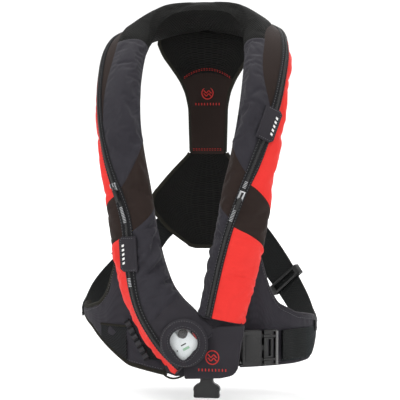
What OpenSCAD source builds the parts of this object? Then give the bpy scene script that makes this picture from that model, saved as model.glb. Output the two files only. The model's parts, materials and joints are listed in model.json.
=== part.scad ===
/* [Collar lobes] */
// Width of a packed lobe across the chest
lobe_w = 73; // [68:1:76]
// Thickness of a packed lobe, front to back
lobe_t = 38; // [36:1:40]
// Thickness of the collar behind the neck
nape_t = 34; // [30:1:36]
// Thickness of a cover panel and its foam
skin = 2; // [1.5:0.5:2.5]
// Width of the zip tape with its teeth
zip_w = 12; // [10:1:14]

/* [Wearer] */
// Half of the chest's width inside the harness
chest_a = 168; // [164:1:172]
// Half of the chest's depth at the back
back_b = 104; // [102:1:106]
// Half of the chest's depth at the front, behind the lobes
front_b = 94; // [90:1:96]

/* [Harness] */
// Thickness of the padded side wings
wing_t = 7; // [5:1:8]
// Thickness of the padded back yoke
yoke_t = 8; // [6:1:9]
// Width of the waist webbing
belt_w = 44; // [40:1:46]
// Thickness of the webbing
web_t = 2.5; // [2:0.5:3]
// Inner radius of the ring that takes the crotch strap
ring_r = 11; // [9:1:12]

/* [Inflator] */
// Radius of the gas cylinder
gas_r = 12; // [10:0.5:12.5]
// Length of the gas cylinder's straight wall
gas_len = 98; // [80:1:100]
// Radius of the inspection window
window_r = 29; // [26:1:29]

/* [Hidden] */
$fn = 48;

CHARCOAL = "#3a383e";
BROWN_BLACK = "#322826";
RED = "#e62d2d";
MESH = "#10100e";
WEBBING = "#1e2020";
PLASTIC = "#141414";
METAL = "#b8b8b8";

// Stations of the collar's centre line. Station 0 is the nape. They count down each side.
NAPE = [0, 68, 37];
UPPER = [[54, 56, 31], [91, 24, 10], [106, -22, -20], [108, -62, -63], [105, -88, -112],
    [97, -104, -168], [86, -113, -224], [76, -119, -282]];
RIGHT_END = [[-64, -121, -340], [-46, -123, -384], [-16, -127, -421], [14, -129, -448]];
LEFT_END = [[63, -122, -340], [50, -125, -402]];
NAPE_W = 58;
NAPE_AT = len(RIGHT_END) + len(UPPER);
UPPER_W = [for (k = [1:len(UPPER)]) min(lobe_w, NAPE_W + 6 * k)];
RIGHT_END_W = [78, 81, 88, 90];
LEFT_END_W = [70, 66];
UPPER_T = [for (k = [1:len(UPPER)]) min(lobe_t, nape_t + 2 * k)];

function mix(a, b, t) = a + (b - a) * t;
function unit(v) = v / norm(v);
function reversed(p) = [for (i = [len(p) - 1:-1:0]) p[i]];
function spline(p, s) = let (n = len(p) - 1, i = max(0, min(n - 1, floor(s))), t = s - i,
    a = p[max(i - 1, 0)], b = p[i], c = p[i + 1], d = p[min(i + 2, n)])
    0.5 * (2 * b + (c - a) * t + (2 * a - 5 * b + 4 * c - d) * t * t
        + (3 * b - a - 3 * c + d) * t * t * t);

PATH = concat(reversed(RIGHT_END), reversed([for (p = UPPER) [-p.x, p.y, p.z]]), [NAPE],
    UPPER, LEFT_END);
WIDTH = concat(reversed(RIGHT_END_W), reversed(UPPER_W), [NAPE_W], UPPER_W, LEFT_END_W);
DEPTH = concat([for (p = RIGHT_END) 40], reversed(UPPER_T), [nape_t], UPPER_T,
    [for (p = LEFT_END) lobe_t]);

// The way a lobe's face looks: forward on the chest, up on the shoulders, back and up at the nape
function facing(p) = let (lift = max(0, min(1, (p.z + 140) / 160)))
    [p.x / 100 * mix(0.5, 0.2, lift), p.y / 100, lift];
function tangent(s) = unit(spline(PATH, min(s + 0.02, len(PATH) - 1))
    - spline(PATH, max(s - 0.02, 0)));
function rounded(v) = sign(v) * pow(abs(v), 0.85);

// A point of a lobe's surface. Angle 0 is the neck side, 90 the front, 180 the arm side, 270 the back.
function lobe_point(s, angle, off = 0) = let (c = spline(PATH, s), t = tangent(s),
    w = unit(cross(t, facing(c))), n = cross(w, t))
    c + w * (spline(WIDTH, s) / 2 + off) * rounded(cos(angle))
        + n * (spline(DEPTH, s) / 2 + off) * rounded(sin(angle));
function station(side, k) = NAPE_AT + side * k;

// Seams as [station, angle]. The zip's line, and the shoulder seam beside it.
RIGHT_ZIP = [[0, 150], [2, 138], [3, 130], [5, 122], [5.7, 115], [6.6, 103], [7.2, 94], [7.6, 88],
    [8, 90], [9, 101], [10, 114], [11, 124], [12, 128]];
LEFT_ZIP = [[0, 150], [1, 138], [2, 124], [3.6, 118], [4.7, 107], [5.7, 90], [6.8, 77], [7.5, 65],
    [7.9, 58], [8.5, 56], [10, 56]];
RIGHT_SHOULDER = [[1.5, 136], [2.3, 104], [3, 92], [3.6, 92], [4.5, 104], [5.2, 110], [12, 110]];
LEFT_SHOULDER = [[1.2, 132], [2.6, 76], [3.8, 68], [4.5, 82], [4.9, 95], [10, 95]];
ZIP_HALF = zip_w * 0.75;
SEAM = 0.8;
NECK_EDGE = -20;
ARM_EDGE = 200;
LINING_EDGE = 340;
function zip_line(side, k) = lookup(k, side > 0 ? LEFT_ZIP : RIGHT_ZIP);
function neck_of_zip(side, k) = zip_line(side, k) - ZIP_HALF - SEAM;
function arm_of_zip(side, k) = zip_line(side, k) + ZIP_HALF + SEAM;
function shoulder_line(side, k) = min(neck_of_zip(side, k) - 1,
    lookup(k, side > 0 ? LEFT_SHOULDER : RIGHT_SHOULDER));

// Triangles of a skin that has a face grid first and a back grid second, wound for the face side
function skin_faces(rows, cols) = let (m = cols + 1, b = (rows + 1) * m) concat(
    [for (i = [0:rows - 1], j = [0:cols - 1]) let (p = i * m + j)
        each [[p, p + 1, p + m], [p + 1, p + m + 1, p + m],
            [b + p + m, b + p + 1, b + p], [b + p + m, b + p + m + 1, b + p + 1]]],
    [for (i = [0:rows - 1]) let (p = i * m, q = i * m + cols)
        each [[p, p + m, b + p + m], [p, b + p + m, b + p],
            [q + m, q, b + q], [q + m, b + q, b + q + m]]],
    [for (j = [0:cols - 1]) let (q = rows * m + j)
        each [[j + 1, j, b + j], [j + 1, b + j, b + j + 1],
            [q, q + 1, b + q + 1], [q, b + q + 1, b + q]]]);
function turned(faces) = [for (f = faces) [f[2], f[1], f[0]]];

module skin_solid(face, back, rows, cols, turn = false) {
    faces = skin_faces(rows, cols);
    polyhedron(concat(face, back), turn ? turned(faces) : faces, convexity = 6);
}

// Cover panel between two cross seams, each [station at the neck seam, station at the arm seam].
// The neck seam and the arm seam come as tables of [station, angle].
module lobe_panel(side, top, bottom, neck, arm, lift = 0, thick = skin, rows = 10, cols = 6) {
    function grid(off) = [for (i = [0:rows], j = [0:cols]) let (b = j / cols,
        k = mix(mix(top[0], top[1], b), mix(bottom[0], bottom[1], b), i / rows))
        lobe_point(station(side, k), mix(lookup(k, neck), lookup(k, arm), b), off)];
    skin_solid(grid(lift), grid(lift - thick), rows, cols, side < 0);
}

STEPS = [for (k = [0:0.25:12]) k];
function flat_seam(angle) = [[0, angle], [12, angle]];
function neck_seam(side) = [for (k = STEPS) [k, neck_of_zip(side, k)]];
function arm_seam(side) = [for (k = STEPS) [k, arm_of_zip(side, k)]];
function shoulder_seam(side, gap) = [for (k = STEPS) [k, shoulder_line(side, k) + gap]];

COLLAR_END = 2.9;
COLLAR_ROWS = 29;
SIDES_START = 1.55;
// Share of the way from the nape's seams to the side's seams
function to_side(s) = max(0, min(1, (abs(s) - 1.3) / 0.2));

module collar_mesh() {
    rows = COLLAR_ROWS;
    cols = 6;
    function edge(s, side) = mix(152, shoulder_line(side, abs(s)) - 3 * SEAM, to_side(s));
    function grid(off) = [for (i = [0:rows], j = [0:cols]) let (s = mix(-COLLAR_END, COLLAR_END, i / rows))
        lobe_point(NAPE_AT + s, mix(NECK_EDGE + 1, edge(s, s < 0 ? -1 : 1), j / cols), off)];
    color(MESH) skin_solid(grid(0), grid(-skin), rows, cols);
}

module collar_lining() {
    rows = COLLAR_ROWS;
    cols = 6;
    function edge(s) = mix(154.5, ARM_EDGE + 3, to_side(s));
    function grid(off) = [for (i = [0:rows], j = [0:cols]) let (s = mix(-COLLAR_END, COLLAR_END, i / rows))
        lobe_point(NAPE_AT + s, mix(edge(s) + 18 * max(0, 1.1 - abs(s)), LINING_EDGE - 1, j / cols), off)];
    color(MESH) skin_solid(grid(0), grid(-skin), rows, cols);
}

module lining(side, last) {
    color(MESH) lobe_panel(side, [3, 3], [last, last], flat_seam(ARM_EDGE + 1), flat_seam(LINING_EDGE - 1),
        rows = 18);
}

// Closed tube along the collar, from station to station, with flat ends
module lobe_core(from, to, off, rows, cols) {
    points = [for (i = [0:rows], j = [0:cols - 1])
        lobe_point(mix(from, to, i / rows), 360 * j / cols, off)];
    walls = [for (i = [0:rows - 1], j = [0:cols - 1]) let (p = i * cols + j,
        q = i * cols + (j + 1) % cols) each [[p, q, p + cols], [q, q + cols, p + cols]]];
    ends = [[for (j = [cols - 1:-1:0]) j], [for (j = [0:cols - 1]) rows * cols + j]];
    polyhedron(points, concat(walls, ends), convexity = 8);
}

CELL_GAP = 6;
module air_cell() {
    color("#d8c020") lobe_core(station(-1, 8), station(1, 7.8), -CELL_GAP, 32, 14);
}

RIGHT_LAST = 12;
LEFT_LAST = 10;
// Plate that closes a lobe's open end
module end_cap(side, last) {
    s = station(side, last);
    t = tangent(s) * side;
    cols = 28;
    ring = [for (j = [0:cols - 1]) lobe_point(s, 360 * j / cols, -1.2)];
    gap = 0.5;
    points = concat([for (p = ring) p + t * gap], [for (p = ring) p + t * (gap + skin)]);
    walls = [for (j = [0:cols - 1]) let (n = (j + 1) % cols)
        each [[j, n, j + cols], [n, n + cols, j + cols]]];
    ends = [[for (j = [cols - 1:-1:0]) j], [for (j = [0:cols - 1]) cols + j]];
    faces = concat(walls, ends);
    polyhedron(points, side > 0 ? faces : [for (f = faces) reversed(f)]);
}

module end_caps() {
    color(CHARCOAL) {
        end_cap(-1, RIGHT_LAST);
        end_cap(1, LEFT_LAST);
    }
}

// Shoulder panel: one piece on the neck side of the zip and one on the arm side
module shoulder(side, start, tip, red_start) {
    color(BROWN_BLACK) {
        lobe_panel(side, [start, start], [tip, tip], shoulder_seam(side, 1), neck_seam(side),
            rows = 18, cols = 3);
        lobe_panel(side, [SIDES_START, SIDES_START], [red_start, red_start], arm_seam(side),
            flat_seam(ARM_EDGE), rows = 5, cols = 4);
    }
}

// Upper grey panel: beside the shoulder seam down to its tip, then beside the zip
module upper_grey(side, tip, bottom) {
    upper = [for (k = STEPS) [k, k < tip ? shoulder_line(side, k) - 1 : neck_of_zip(side, k)]];
    color(CHARCOAL) lobe_panel(side, [3, 3], bottom, flat_seam(NECK_EDGE), upper, rows = 16);
}

module neck_panel(side, top, bottom, paint) {
    color(paint) lobe_panel(side, top, bottom, flat_seam(NECK_EDGE), neck_seam(side));
}

module arm_panel(side, top, bottom, paint) {
    color(paint) lobe_panel(side, top, bottom, arm_seam(side), flat_seam(ARM_EDGE), rows = 14);
}

JOIN = 0.02;
RIGHT_CUTS = [[5.8, 6.9], [7.45, 7.95]];
RIGHT_ARM_CUTS = [[7.05, 7.4], [8.05, 8.3]];
LEFT_CUTS = [[5.8, 6.55], [7.3, 7.65]];
LEFT_ARM_CUTS = [[6.8, 7.5], [7.85, 8.3]];
RIGHT_PANEL_END = [10.1, 10.4];
function below(cut) = [cut[0] + JOIN, cut[1] + JOIN];

module zip_tape(side, last) {
    zip_rise = 0.6;
    neck = [for (k = STEPS) [k, zip_line(side, k) - ZIP_HALF]];
    arm = [for (k = STEPS) [k, zip_line(side, k) + ZIP_HALF]];
    color(WEBBING) lobe_panel(side, [SIDES_START, SIDES_START], [last, last], neck, arm, zip_rise,
        skin + zip_rise, rows = 34, cols = 2);
}

// Puts children on the zip: X runs down the zip, Y across it, Z out of the lobe
function zip_point(side, k) = lobe_point(station(side, k), zip_line(side, k));
module on_zip(side, k, lift) {
    near = 0.1;
    s = station(side, k);
    angle = zip_line(side, k);
    x = unit(zip_point(side, k + near) - zip_point(side, k - near));
    z = unit(cross(tangent(s), lobe_point(s, angle + 1) - lobe_point(s, angle - 1)));
    y = unit(cross(z, x));
    out = cross(x, y);
    p = zip_point(side, k) + out * lift;
    multmatrix([[x.x, y.x, out.x, p.x], [x.y, y.y, out.y, p.y], [x.z, y.z, out.z, p.z], [0, 0, 0, 1]])
        children();
}

RIGHT_SLIDER_AT = 6.85;
LEFT_SLIDER_AT = 7.1;
SLIDER_LIFT = 1.6;
PULL_PIN = [-3, 0, 5];
module at_slider(side) {
    on_zip(side, side > 0 ? LEFT_SLIDER_AT : RIGHT_SLIDER_AT, SLIDER_LIFT) children();
}

// Slider body with a bridge over its top that holds the pull's pin
module zip_slider(side) {
    color(METAL) at_slider(side) difference() {
        union() {
            translate([-6, -4, 0]) cube([12, 8, 2.4]);
            translate([-5.5, -3, 2]) cube([6, 6, 5]);
        }
        translate([PULL_PIN.x, 0, PULL_PIN.z]) rotate([90, 0, 0]) cylinder(r = 1.2, h = 20, center = true);
        translate([-6, -1.8, 2.6]) cube([7, 3.6, 6]);
    }
}

// Pull tab on its pin
module zip_pull(side) {
    color(PLASTIC) at_slider(side) translate(PULL_PIN) {
        rotate([90, 0, 0]) cylinder(r = 1.1, h = 5.6, center = true);
        translate([0, -1.4, -0.6]) cube([8, 2.8, 1.2]);
        translate([7.5, -2.8, -0.8]) cube([18, 5.6, 1.6]);
    }
}

RIGHT_GUARD_AT = 8.45;
LEFT_GUARD_AT = 5.35;
GUARD_LIFT = 2.6;
GUARD_LEN = 50;
GUARD_W = 26;
GUARD_T = 1.8;
// Flap that covers the zip's parking place, hinged on a rolled neck-side edge
module zip_guard(side) {
    cut = 5;
    end = GUARD_LEN / 2;
    edge = side * GUARD_W / 2;
    color(CHARCOAL) on_zip(side, side > 0 ? LEFT_GUARD_AT : RIGHT_GUARD_AT, GUARD_LIFT) {
        linear_extrude(GUARD_T) polygon([[-end, -edge], [end, -edge], [end, edge - side * cut],
            [end - cut, edge], [cut - end, edge], [-end, edge - side * cut]]);
        translate([0, -edge, GUARD_T / 2]) rotate([0, 90, 0])
            cylinder(d = GUARD_T + 1, h = GUARD_LEN, center = true);
    }
}

WINDOW_AT = [0, -148.6, -434];
RIM_W = 8;
module facing_front(at) {
    translate(at) rotate([90, 0, 0]) children();
}

module right_end_panel() {
    color(CHARCOAL) difference() {
        lobe_panel(-1, below(RIGHT_PANEL_END), [RIGHT_LAST, RIGHT_LAST], flat_seam(NECK_EDGE),
            neck_seam(-1), rows = 10, cols = 10);
        facing_front([WINDOW_AT.x, WINDOW_AT.y + 30, WINDOW_AT.z])
            cylinder(r = window_r - 3, h = 60);
        for (down = [0, 2 * skin]) translate(down * tangent(station(1, LEFT_LAST)))
            lobe_core(station(1, LEFT_LAST - 1), station(1, LEFT_LAST), 0.8, 4, 28);
    }
}

module window_rim() {
    color(CHARCOAL) facing_front(WINDOW_AT) rotate_extrude()
        translate([window_r + 0.3, 0]) polygon([[0, 0], [RIM_W, 0], [RIM_W - 2, 3], [1.5, 3], [0, 1.8]]);
}

module window_pane() {
    color("#c8d4d8") facing_front(WINDOW_AT) cylinder(r = window_r, h = 1.5);
}

TAB_T = 5;
TAB_Y = -133;
module front_tab() {
    color(CHARCOAL) facing_front([0, TAB_Y, 0]) linear_extrude(TAB_T) polygon([[49, -412], [85, -409],
        [76, -465], [72, -476], [63, -482], [50, -485], [-1, -487]]);
}

// Inflator: its own frame has Z along the gas cylinder
INFLATOR_AT = [-6, -127, -428];
GAS_TOWARDS = [-44, -122, -358];
module in_inflator() {
    d = GAS_TOWARDS - INFLATOR_AT;
    z = unit(d);
    x = unit(cross([0, 1, 0], z));
    y = cross(z, x);
    p = INFLATOR_AT;
    multmatrix([[x.x, y.x, z.x, p.x], [x.y, y.y, z.y, p.y], [x.z, y.z, z.z, p.z], [0, 0, 0, 1]])
        children();
}

BODY = [30, 22, 27];
NECK_Z = 18;
THREAD_R = 6;
FIT = 0.08;
CAP_R = 6;
CAP_AT = [6, 2];
LEVER_PIN = [-9, 0, -8];
LEVER_PIN_R = 2.4;
module inflator_body() {
    color("white") in_inflator() difference() {
        union() {
            translate([-BODY.x / 2, -BODY.y / 2, 12 - BODY.z]) cube(BODY);
            cylinder(r = BODY.y / 2, h = NECK_Z + 4);
        }
        translate([0, 0, NECK_Z - 8]) cylinder(r = THREAD_R + FIT, h = 20);
        translate([-BODY.x, -3, 11 - BODY.z - 1]) cube([BODY.x - 4, 6, 12]);
        translate(LEVER_PIN) rotate([90, 0, 0]) cylinder(r = LEVER_PIN_R + FIT, h = 14, center = true);
        rotate([90, 0, 0]) translate([CAP_AT.x, CAP_AT.y, -1]) cylinder(r = CAP_R + FIT, h = 30);
    }
}

module inflator_cap() {
    color(PLASTIC) in_inflator() rotate([90, 0, 0]) translate([CAP_AT.x, CAP_AT.y, 0]) {
        cylinder(r = CAP_R, h = 13);
        translate([-4.5, -1, 12]) cube([9, 2, 2.5]);
    }
}

module manual_lever() {
    lever_len = 16;
    color("#c8b020") in_inflator() translate(LEVER_PIN) {
        rotate([90, 0, 0]) cylinder(r = LEVER_PIN_R, h = 13, center = true);
        translate([-1.6, -2.3, -lever_len]) cube([3.2, 4.6, lever_len]);
    }
}

module gas_cylinder() {
    neck_h = 14;
    dome_h = 6;
    wall_z = neck_h + dome_h - 1;
    color("#8c9aa0") in_inflator() translate([0, 0, NECK_Z - 7]) {
        cylinder(r = THREAD_R, h = neck_h);
        translate([0, 0, neck_h - 0.5]) cylinder(r1 = THREAD_R, r2 = gas_r, h = dome_h);
        translate([0, 0, wall_z]) cylinder(r = gas_r, h = gas_len);
        translate([0, 0, wall_z + gas_len - 0.1]) cylinder(r1 = gas_r, r2 = gas_r - 5, h = dome_h);
    }
}

// Thin solid cord along a list of points
module cord(points, r, sides = 8) {
    steps = 3;
    n = (len(points) - 1) * steps;
    rings = [for (i = [0:n]) let (s = i / steps, c = spline(points, s),
        t = unit(spline(points, min(s + 0.05, len(points) - 1)) - spline(points, max(s - 0.05, 0))),
        x = unit(cross(t, [0, 1, 0])), y = cross(t, x))
        each [for (j = [0:sides - 1]) c + r * (x * cos(360 * j / sides) + y * sin(360 * j / sides))]];
    walls = [for (i = [0:n - 1], j = [0:sides - 1]) let (p = i * sides + j,
        q = i * sides + (j + 1) % sides) each [[p, p + sides, q], [q, p + sides, q + sides]]];
    ends = [[for (j = [0:sides - 1]) j], [for (j = [sides - 1:-1:0]) n * sides + j]];
    polyhedron(rings, concat(walls, ends));
}

CORD_R = 1.5;
PULL_ROUTE = [[-29, -128, -471], [-32, -128, -476], [-32, -128, -482], [-27, -128, -486],
    [-20, -128, -488], [-12, -128, -487], [-5, -128, -484], [0, -128, -481]];
module pull_cord() {
    color(PLASTIC) cord(PULL_ROUTE, CORD_R);
}

// Oral inflation tube: its own frame has Z down towards the cap
ORAL_AT = [76, -119, -290];
ORAL_TOWARDS = [68, -122, -350];
ORAL_LEN = 40;
ORAL_BORE = 5.5;
module in_oral() {
    z = unit(ORAL_TOWARDS - ORAL_AT);
    x = unit(cross([0, 1, 0], z));
    y = cross(z, x);
    p = ORAL_AT;
    multmatrix([[x.x, y.x, z.x, p.x], [x.y, y.y, z.y, p.y], [x.z, y.z, z.z, p.z], [0, 0, 0, 1]])
        children();
}

module oral_tube() {
    color(PLASTIC) in_oral() difference() {
        union() {
            cylinder(r = 8, h = ORAL_LEN);
            cylinder(r = 12, h = 3);
        }
        translate([0, 0, 4]) cylinder(r = ORAL_BORE, h = ORAL_LEN);
    }
}

module oral_valve() {
    color("#c83028") in_oral() translate([0, 0, ORAL_LEN - 12]) {
        cylinder(r = ORAL_BORE - 0.5, h = 2);
        cylinder(r = 1.5, h = 9);
    }
}

module oral_cap() {
    color(PLASTIC) in_oral() translate([0, 0, ORAL_LEN - 5]) difference() {
        cylinder(r = 10, h = 11);
        translate([0, 0, -1]) cylinder(r = 8.4, h = 9);
    }
}

WHISTLE_AT = [46, -123, -366];
module whistle() {
    color("#e07820") translate(WHISTLE_AT) rotate([0, -10, 0]) difference() {
        union() {
            translate([-4, -5, -20]) cube([8, 10, 34]);
            translate([0, 5, 16]) rotate([90, 0, 0]) cylinder(r = 8, h = 10);
        }
        translate([0, 4, 16]) rotate([90, 0, 0]) cylinder(r = 6.5, h = 8);
    }
}

// Back yoke: a padded sheet that follows the back, with its half-width given down its length
function back_line(z) = lookup(-z, [[0, 82], [40, 95], [100, 103], [170, back_b], [320, back_b]]);
module back_sheet(widths, from, to, rows, cols = 8) {
    function grid(off) = [for (i = [0:rows], j = [0:cols]) let (z = mix(from, to, i / rows),
        x = mix(-1, 1, j / cols) * lookup(-z, widths))
        [x, (back_line(z) + off) * sqrt(1 - pow(x / (chest_a + off), 2)), z]];
    skin_solid(grid(yoke_t), grid(0), rows, cols, true);
}

JOIN_GAP = 0.5;
YOKE_TOP = 8;
STRAP_TOP = -56;
STRAP_END = -172;
PAD_END = -318;
YOKE_W = [[-2, 74], [20, 66], [56, 42], [76, 33], [100, 28], [172, 26]];
PAD_W = [[172, 26], [205, 58], [238, 86], [256, 87], [290, 64], [310, 34], [318, 20]];
module yoke_mesh() {
    color(MESH) back_sheet(YOKE_W, YOKE_TOP, STRAP_TOP, 8);
}

module yoke_strap() {
    color(BROWN_BLACK) back_sheet(YOKE_W, STRAP_TOP - JOIN_GAP, STRAP_END, 10);
}

module back_pad() {
    color(MESH) back_sheet(PAD_W, STRAP_END - JOIN_GAP, PAD_END, 14, 12);
}

// Ring for the crotch strap, in a webbing tab on the pad's rear face
RING_AT = [0, 119, -307];
RING_WIRE = 3.5;
RING_T = 3;
BAR_R = 1.8;
BAR_RISE = ring_r + RING_WIRE + 7;
TAB_W = 12;
TAB_UP = 18;
// Round eye with a slot over it, whose top bar turns in the tab
module back_ring() {
    slot = TAB_W / 2 + 1.5;
    arm = 3;
    color(PLASTIC) translate(RING_AT) {
        translate([0, RING_T / 2, 0]) rotate([90, 0, 0]) rotate_extrude()
            translate([ring_r, 0]) square([RING_WIRE, RING_T]);
        for (x = [-slot - arm, slot]) translate([x, -RING_T / 2, ring_r])
            cube([arm, RING_T, BAR_RISE - ring_r]);
        translate([0, 0, BAR_RISE]) rotate([0, 90, 0])
            cylinder(r = BAR_R, h = 2 * (slot + arm), center = true);
    }
}

module ring_tab() {
    hole = BAR_R + FIT;
    color(WEBBING) translate([0, RING_AT.y, RING_AT.z + BAR_RISE]) rotate([0, 90, 0]) difference() {
        union() {
            cylinder(r = hole + web_t, h = TAB_W, center = true);
            translate([-TAB_UP, back_b + yoke_t + 0.3 - RING_AT.y, -TAB_W / 2]) cube([TAB_UP, web_t, TAB_W]);
        }
        cylinder(r = hole, h = TAB_W + 1, center = true);
    }
}

// Bands that wrap the chest. Angle 0 is the side, 90 the back, -90 the front.
function wrapped(side, angle, z, off) = let (b = angle > 0 ? back_b : front_b)
    [side * (chest_a + off) * cos(angle), (b + off) * sin(angle), z];
module band(side, from, to, top, bottom, lift, thick, rows = 16, cols = 4) {
    function grid(off) = [for (i = [0:rows], j = [0:cols]) let (angle = mix(from, to, i / rows))
        wrapped(side, angle, mix(lookup(angle, top), lookup(angle, bottom), j / cols),
            off + lookup(angle, lift))];
    skin_solid(grid(thick), grid(0), rows, cols, side < 0);
}

// Upper and lower edges of the side straps, which are narrow where they join the wings
LEFT_STRAP_TOP = [[-8, -416], [8, -414], [20, -406], [34, -368], [62, -276], [72, -262]];
LEFT_STRAP_LOW = [[-8, -432], [8, -434], [20, -444], [34, -444], [62, -354], [72, -312]];
RIGHT_STRAP_TOP = [[-8, -404], [8, -390], [24, -362], [36, -338], [60, -285], [72, -250]];
RIGHT_STRAP_LOW = [[-8, -416], [8, -416], [24, -412], [36, -400], [60, -347], [72, -296]];
function strap_top(side) = side > 0 ? LEFT_STRAP_TOP : RIGHT_STRAP_TOP;
function strap_low(side) = side > 0 ? LEFT_STRAP_LOW : RIGHT_STRAP_LOW;
STRAP_HALF = 24;
STRAP_LIFT = 11;
STRAP_T = 3;
function shifted(table, d) = [for (r = table) [r[0], r[1] + d]];
module side_strap(side) {
    color(WEBBING) band(side, 72, -8, strap_top(side), strap_low(side),
        [[8, wing_t + 0.5], [24, STRAP_LIFT]], STRAP_T, 20, 2);
}

ADJUSTER_AT = 46;
LEFT_SLOPE = 51;
RIGHT_SLOPE = 40;
module at_adjuster(side) {
    mid = STRAP_LIFT + STRAP_T / 2;
    slope = side > 0 ? LEFT_SLOPE : -RIGHT_SLOPE;
    z = (lookup(ADJUSTER_AT, strap_top(side)) + lookup(ADJUSTER_AT, strap_low(side))) / 2;
    p = wrapped(side, ADJUSTER_AT, z, mid);
    out = atan2(chest_a * sin(ADJUSTER_AT), back_b * cos(ADJUSTER_AT));
    translate(p) rotate([0, 0, side > 0 ? out : 180 - out]) rotate([slope, 0, 0]) children();
}

// Three-bar slide: X points out of the chest, Z across the strap
module adjuster(side) {
    across = 2 * STRAP_HALF;
    color(PLASTIC) at_adjuster(side) difference() {
        translate([-1, 0, 0]) cube([10, 16, across + 14], center = true);
        translate([-1.1, 0, 0]) cube([6.2, 20, across + 5], center = true);
        cube([20, 8, across - 2], center = true);
    }
}

RIGHT_WING_TOP = [[-80, -400], [-56, -300], [-50, -326], [-47, -350], [-43, -376], [-36, -391],
    [-20, -400], [8, -398]];
RIGHT_WING_LOW = [[-80, -487], [-58, -475], [-43, -450], [-28, -425], [-14, -413], [8, -410]];
LEFT_WING_TOP = [[-66, -330], [-56, -302], [-50, -360], [-44, -386], [-30, -402], [8, -414]];
LEFT_WING_LOW = [[-66, -474], [-50, -473], [-30, -472], [-14, -469], [-4, -448], [8, -430]];
FLAT = [[-130, 0], [90, 0]];
module right_wing() {
    color(CHARCOAL) band(-1, 8, -80, RIGHT_WING_TOP, RIGHT_WING_LOW, FLAT, wing_t, 20, 5);
}

module left_wing() {
    color(CHARCOAL) band(1, 8, -66, LEFT_WING_TOP, LEFT_WING_LOW, FLAT, wing_t, 20, 5);
}

module pocket_mesh() {
    color(MESH) band(-1, -40, -58, [[-58, -420], [-40, -420]], shifted(RIGHT_WING_LOW, 5),
        [[-58, wing_t + 0.4], [-40, wing_t + 0.4]], 1.2, 8, 3);
}

BELT_Z = -445;
module waist_webbing() {
    half = belt_w / 2;
    color(WEBBING) {
        band(1, -66, -112, [[-112, BELT_Z + half], [-66, BELT_Z + half]],
            [[-112, BELT_Z - half], [-66, BELT_Z - half]], [[-112, 9], [-78, 9], [-66, 14]], web_t, 12, 2);
        band(1, -24, -42, [[-42, BELT_Z + half], [-24, BELT_Z + half]],
            [[-42, BELT_Z - half], [-24, BELT_Z - half]], [[-42, 13], [-34, 8], [-24, 8]], web_t, 8, 2);
    }
}

// Side-release buckle: its own frame has X along the belt, Y into the chest, Z up
BUCKLE_AT = [98, -103, -445];
BUCKLE_TURN = 22;
LATCH_Z = 17;
LATCH_PIN_R = 2.2;
module at_buckle() {
    translate(BUCKLE_AT) rotate([0, 0, BUCKLE_TURN]) children();
}

module buckle_female() {
    color(PLASTIC) at_buckle() difference() {
        translate([-30, -6.5, -25]) cube([36, 13, 50]);
        translate([-18, -4, -21.5]) cube([25, 8, 43]);
        translate([-16, -4, -26]) cube([23, 8, 52]);
        translate([-28, -7, -23]) cube([5, 14, 46]);
    }
}

module buckle_male() {
    color(PLASTIC) at_buckle() {
        difference() {
            translate([10, -5, -25]) cube([20, 10, 50]);
            translate([16, -6, -12]) cube([4, 12, 24]);
            translate([23, -6, -23]) cube([4, 12, 46]);
            for (z = [-LATCH_Z, LATCH_Z]) {
                translate([9, -3.4, z - 4]) cube([5.5, 6.8, 8]);
                translate([12, 0, z]) rotate([90, 0, 0])
                    cylinder(r = LATCH_PIN_R + FIT, h = 12, center = true);
            }
        }
        translate([-13, -2.5, -4]) cube([23.2, 5, 8]);
    }
}

// Latch arm: side 1 is the upper one
module latch(side) {
    color(PLASTIC) at_buckle() translate([12, 0, side * LATCH_Z]) {
        rotate([90, 0, 0]) cylinder(r = LATCH_PIN_R, h = 9.6, center = true);
        translate([-22, -3, -2.2]) cube([22, 6, 4.4]);
        translate([-24, -3, side > 0 ? 0 : -6]) cube([9, 6, 6]);
    }
}

CROTCH_AT = [30, -129, -486];
CROTCH_PIN_R = 2.2;
module crotch_webbing() {
    color(WEBBING) translate(CROTCH_AT) difference() {
        union() {
            translate([-8, -1.25, 0]) cube([16, web_t, 22]);
            rotate([0, 90, 0]) cylinder(r = CROTCH_PIN_R + 1.5, h = 16, center = true);
        }
        rotate([0, 90, 0]) cylinder(r = CROTCH_PIN_R + FIT, h = 18, center = true);
    }
}

module crotch_buckle() {
    color(PLASTIC) translate(CROTCH_AT) {
        rotate([0, 90, 0]) cylinder(r = CROTCH_PIN_R, h = 24, center = true);
        for (x = [-12, 8.6]) translate([x, -3, -9]) cube([3.4, 6, 11]);
        difference() {
            translate([-19, -6, -28]) cube([38, 12, 21.5]);
            translate([-15, -3.5, -29]) cube([30, 7, 17]);
        }
    }
}

collar_mesh();
collar_lining();
air_cell();
shoulder(-1, 1.6, 5.2, 3.2);  // right_shoulder
upper_grey(-1, 5.2, RIGHT_CUTS[0]);  // right_upper_grey
arm_panel(-1, [3.22, 3.22], RIGHT_ARM_CUTS[0], RED);  // right_upper_red
neck_panel(-1, below(RIGHT_CUTS[0]), RIGHT_CUTS[1], BROWN_BLACK);  // right_band_inner
arm_panel(-1, below(RIGHT_ARM_CUTS[0]), RIGHT_ARM_CUTS[1], BROWN_BLACK);  // right_band_outer
neck_panel(-1, below(RIGHT_CUTS[1]), RIGHT_PANEL_END, CHARCOAL);  // right_lower_grey
arm_panel(-1, below(RIGHT_ARM_CUTS[1]), [RIGHT_LAST, RIGHT_LAST], RED);  // right_lower_red
right_end_panel();
lining(-1, RIGHT_LAST);  // right_lining
shoulder(1, 1.3, 4.9, 1.9);  // left_shoulder
upper_grey(1, 4.9, LEFT_CUTS[0]);  // left_upper_grey
arm_panel(1, [1.92, 1.92], LEFT_ARM_CUTS[0], RED);  // left_upper_red
neck_panel(1, below(LEFT_CUTS[0]), LEFT_CUTS[1], BROWN_BLACK);  // left_band_inner
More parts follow.
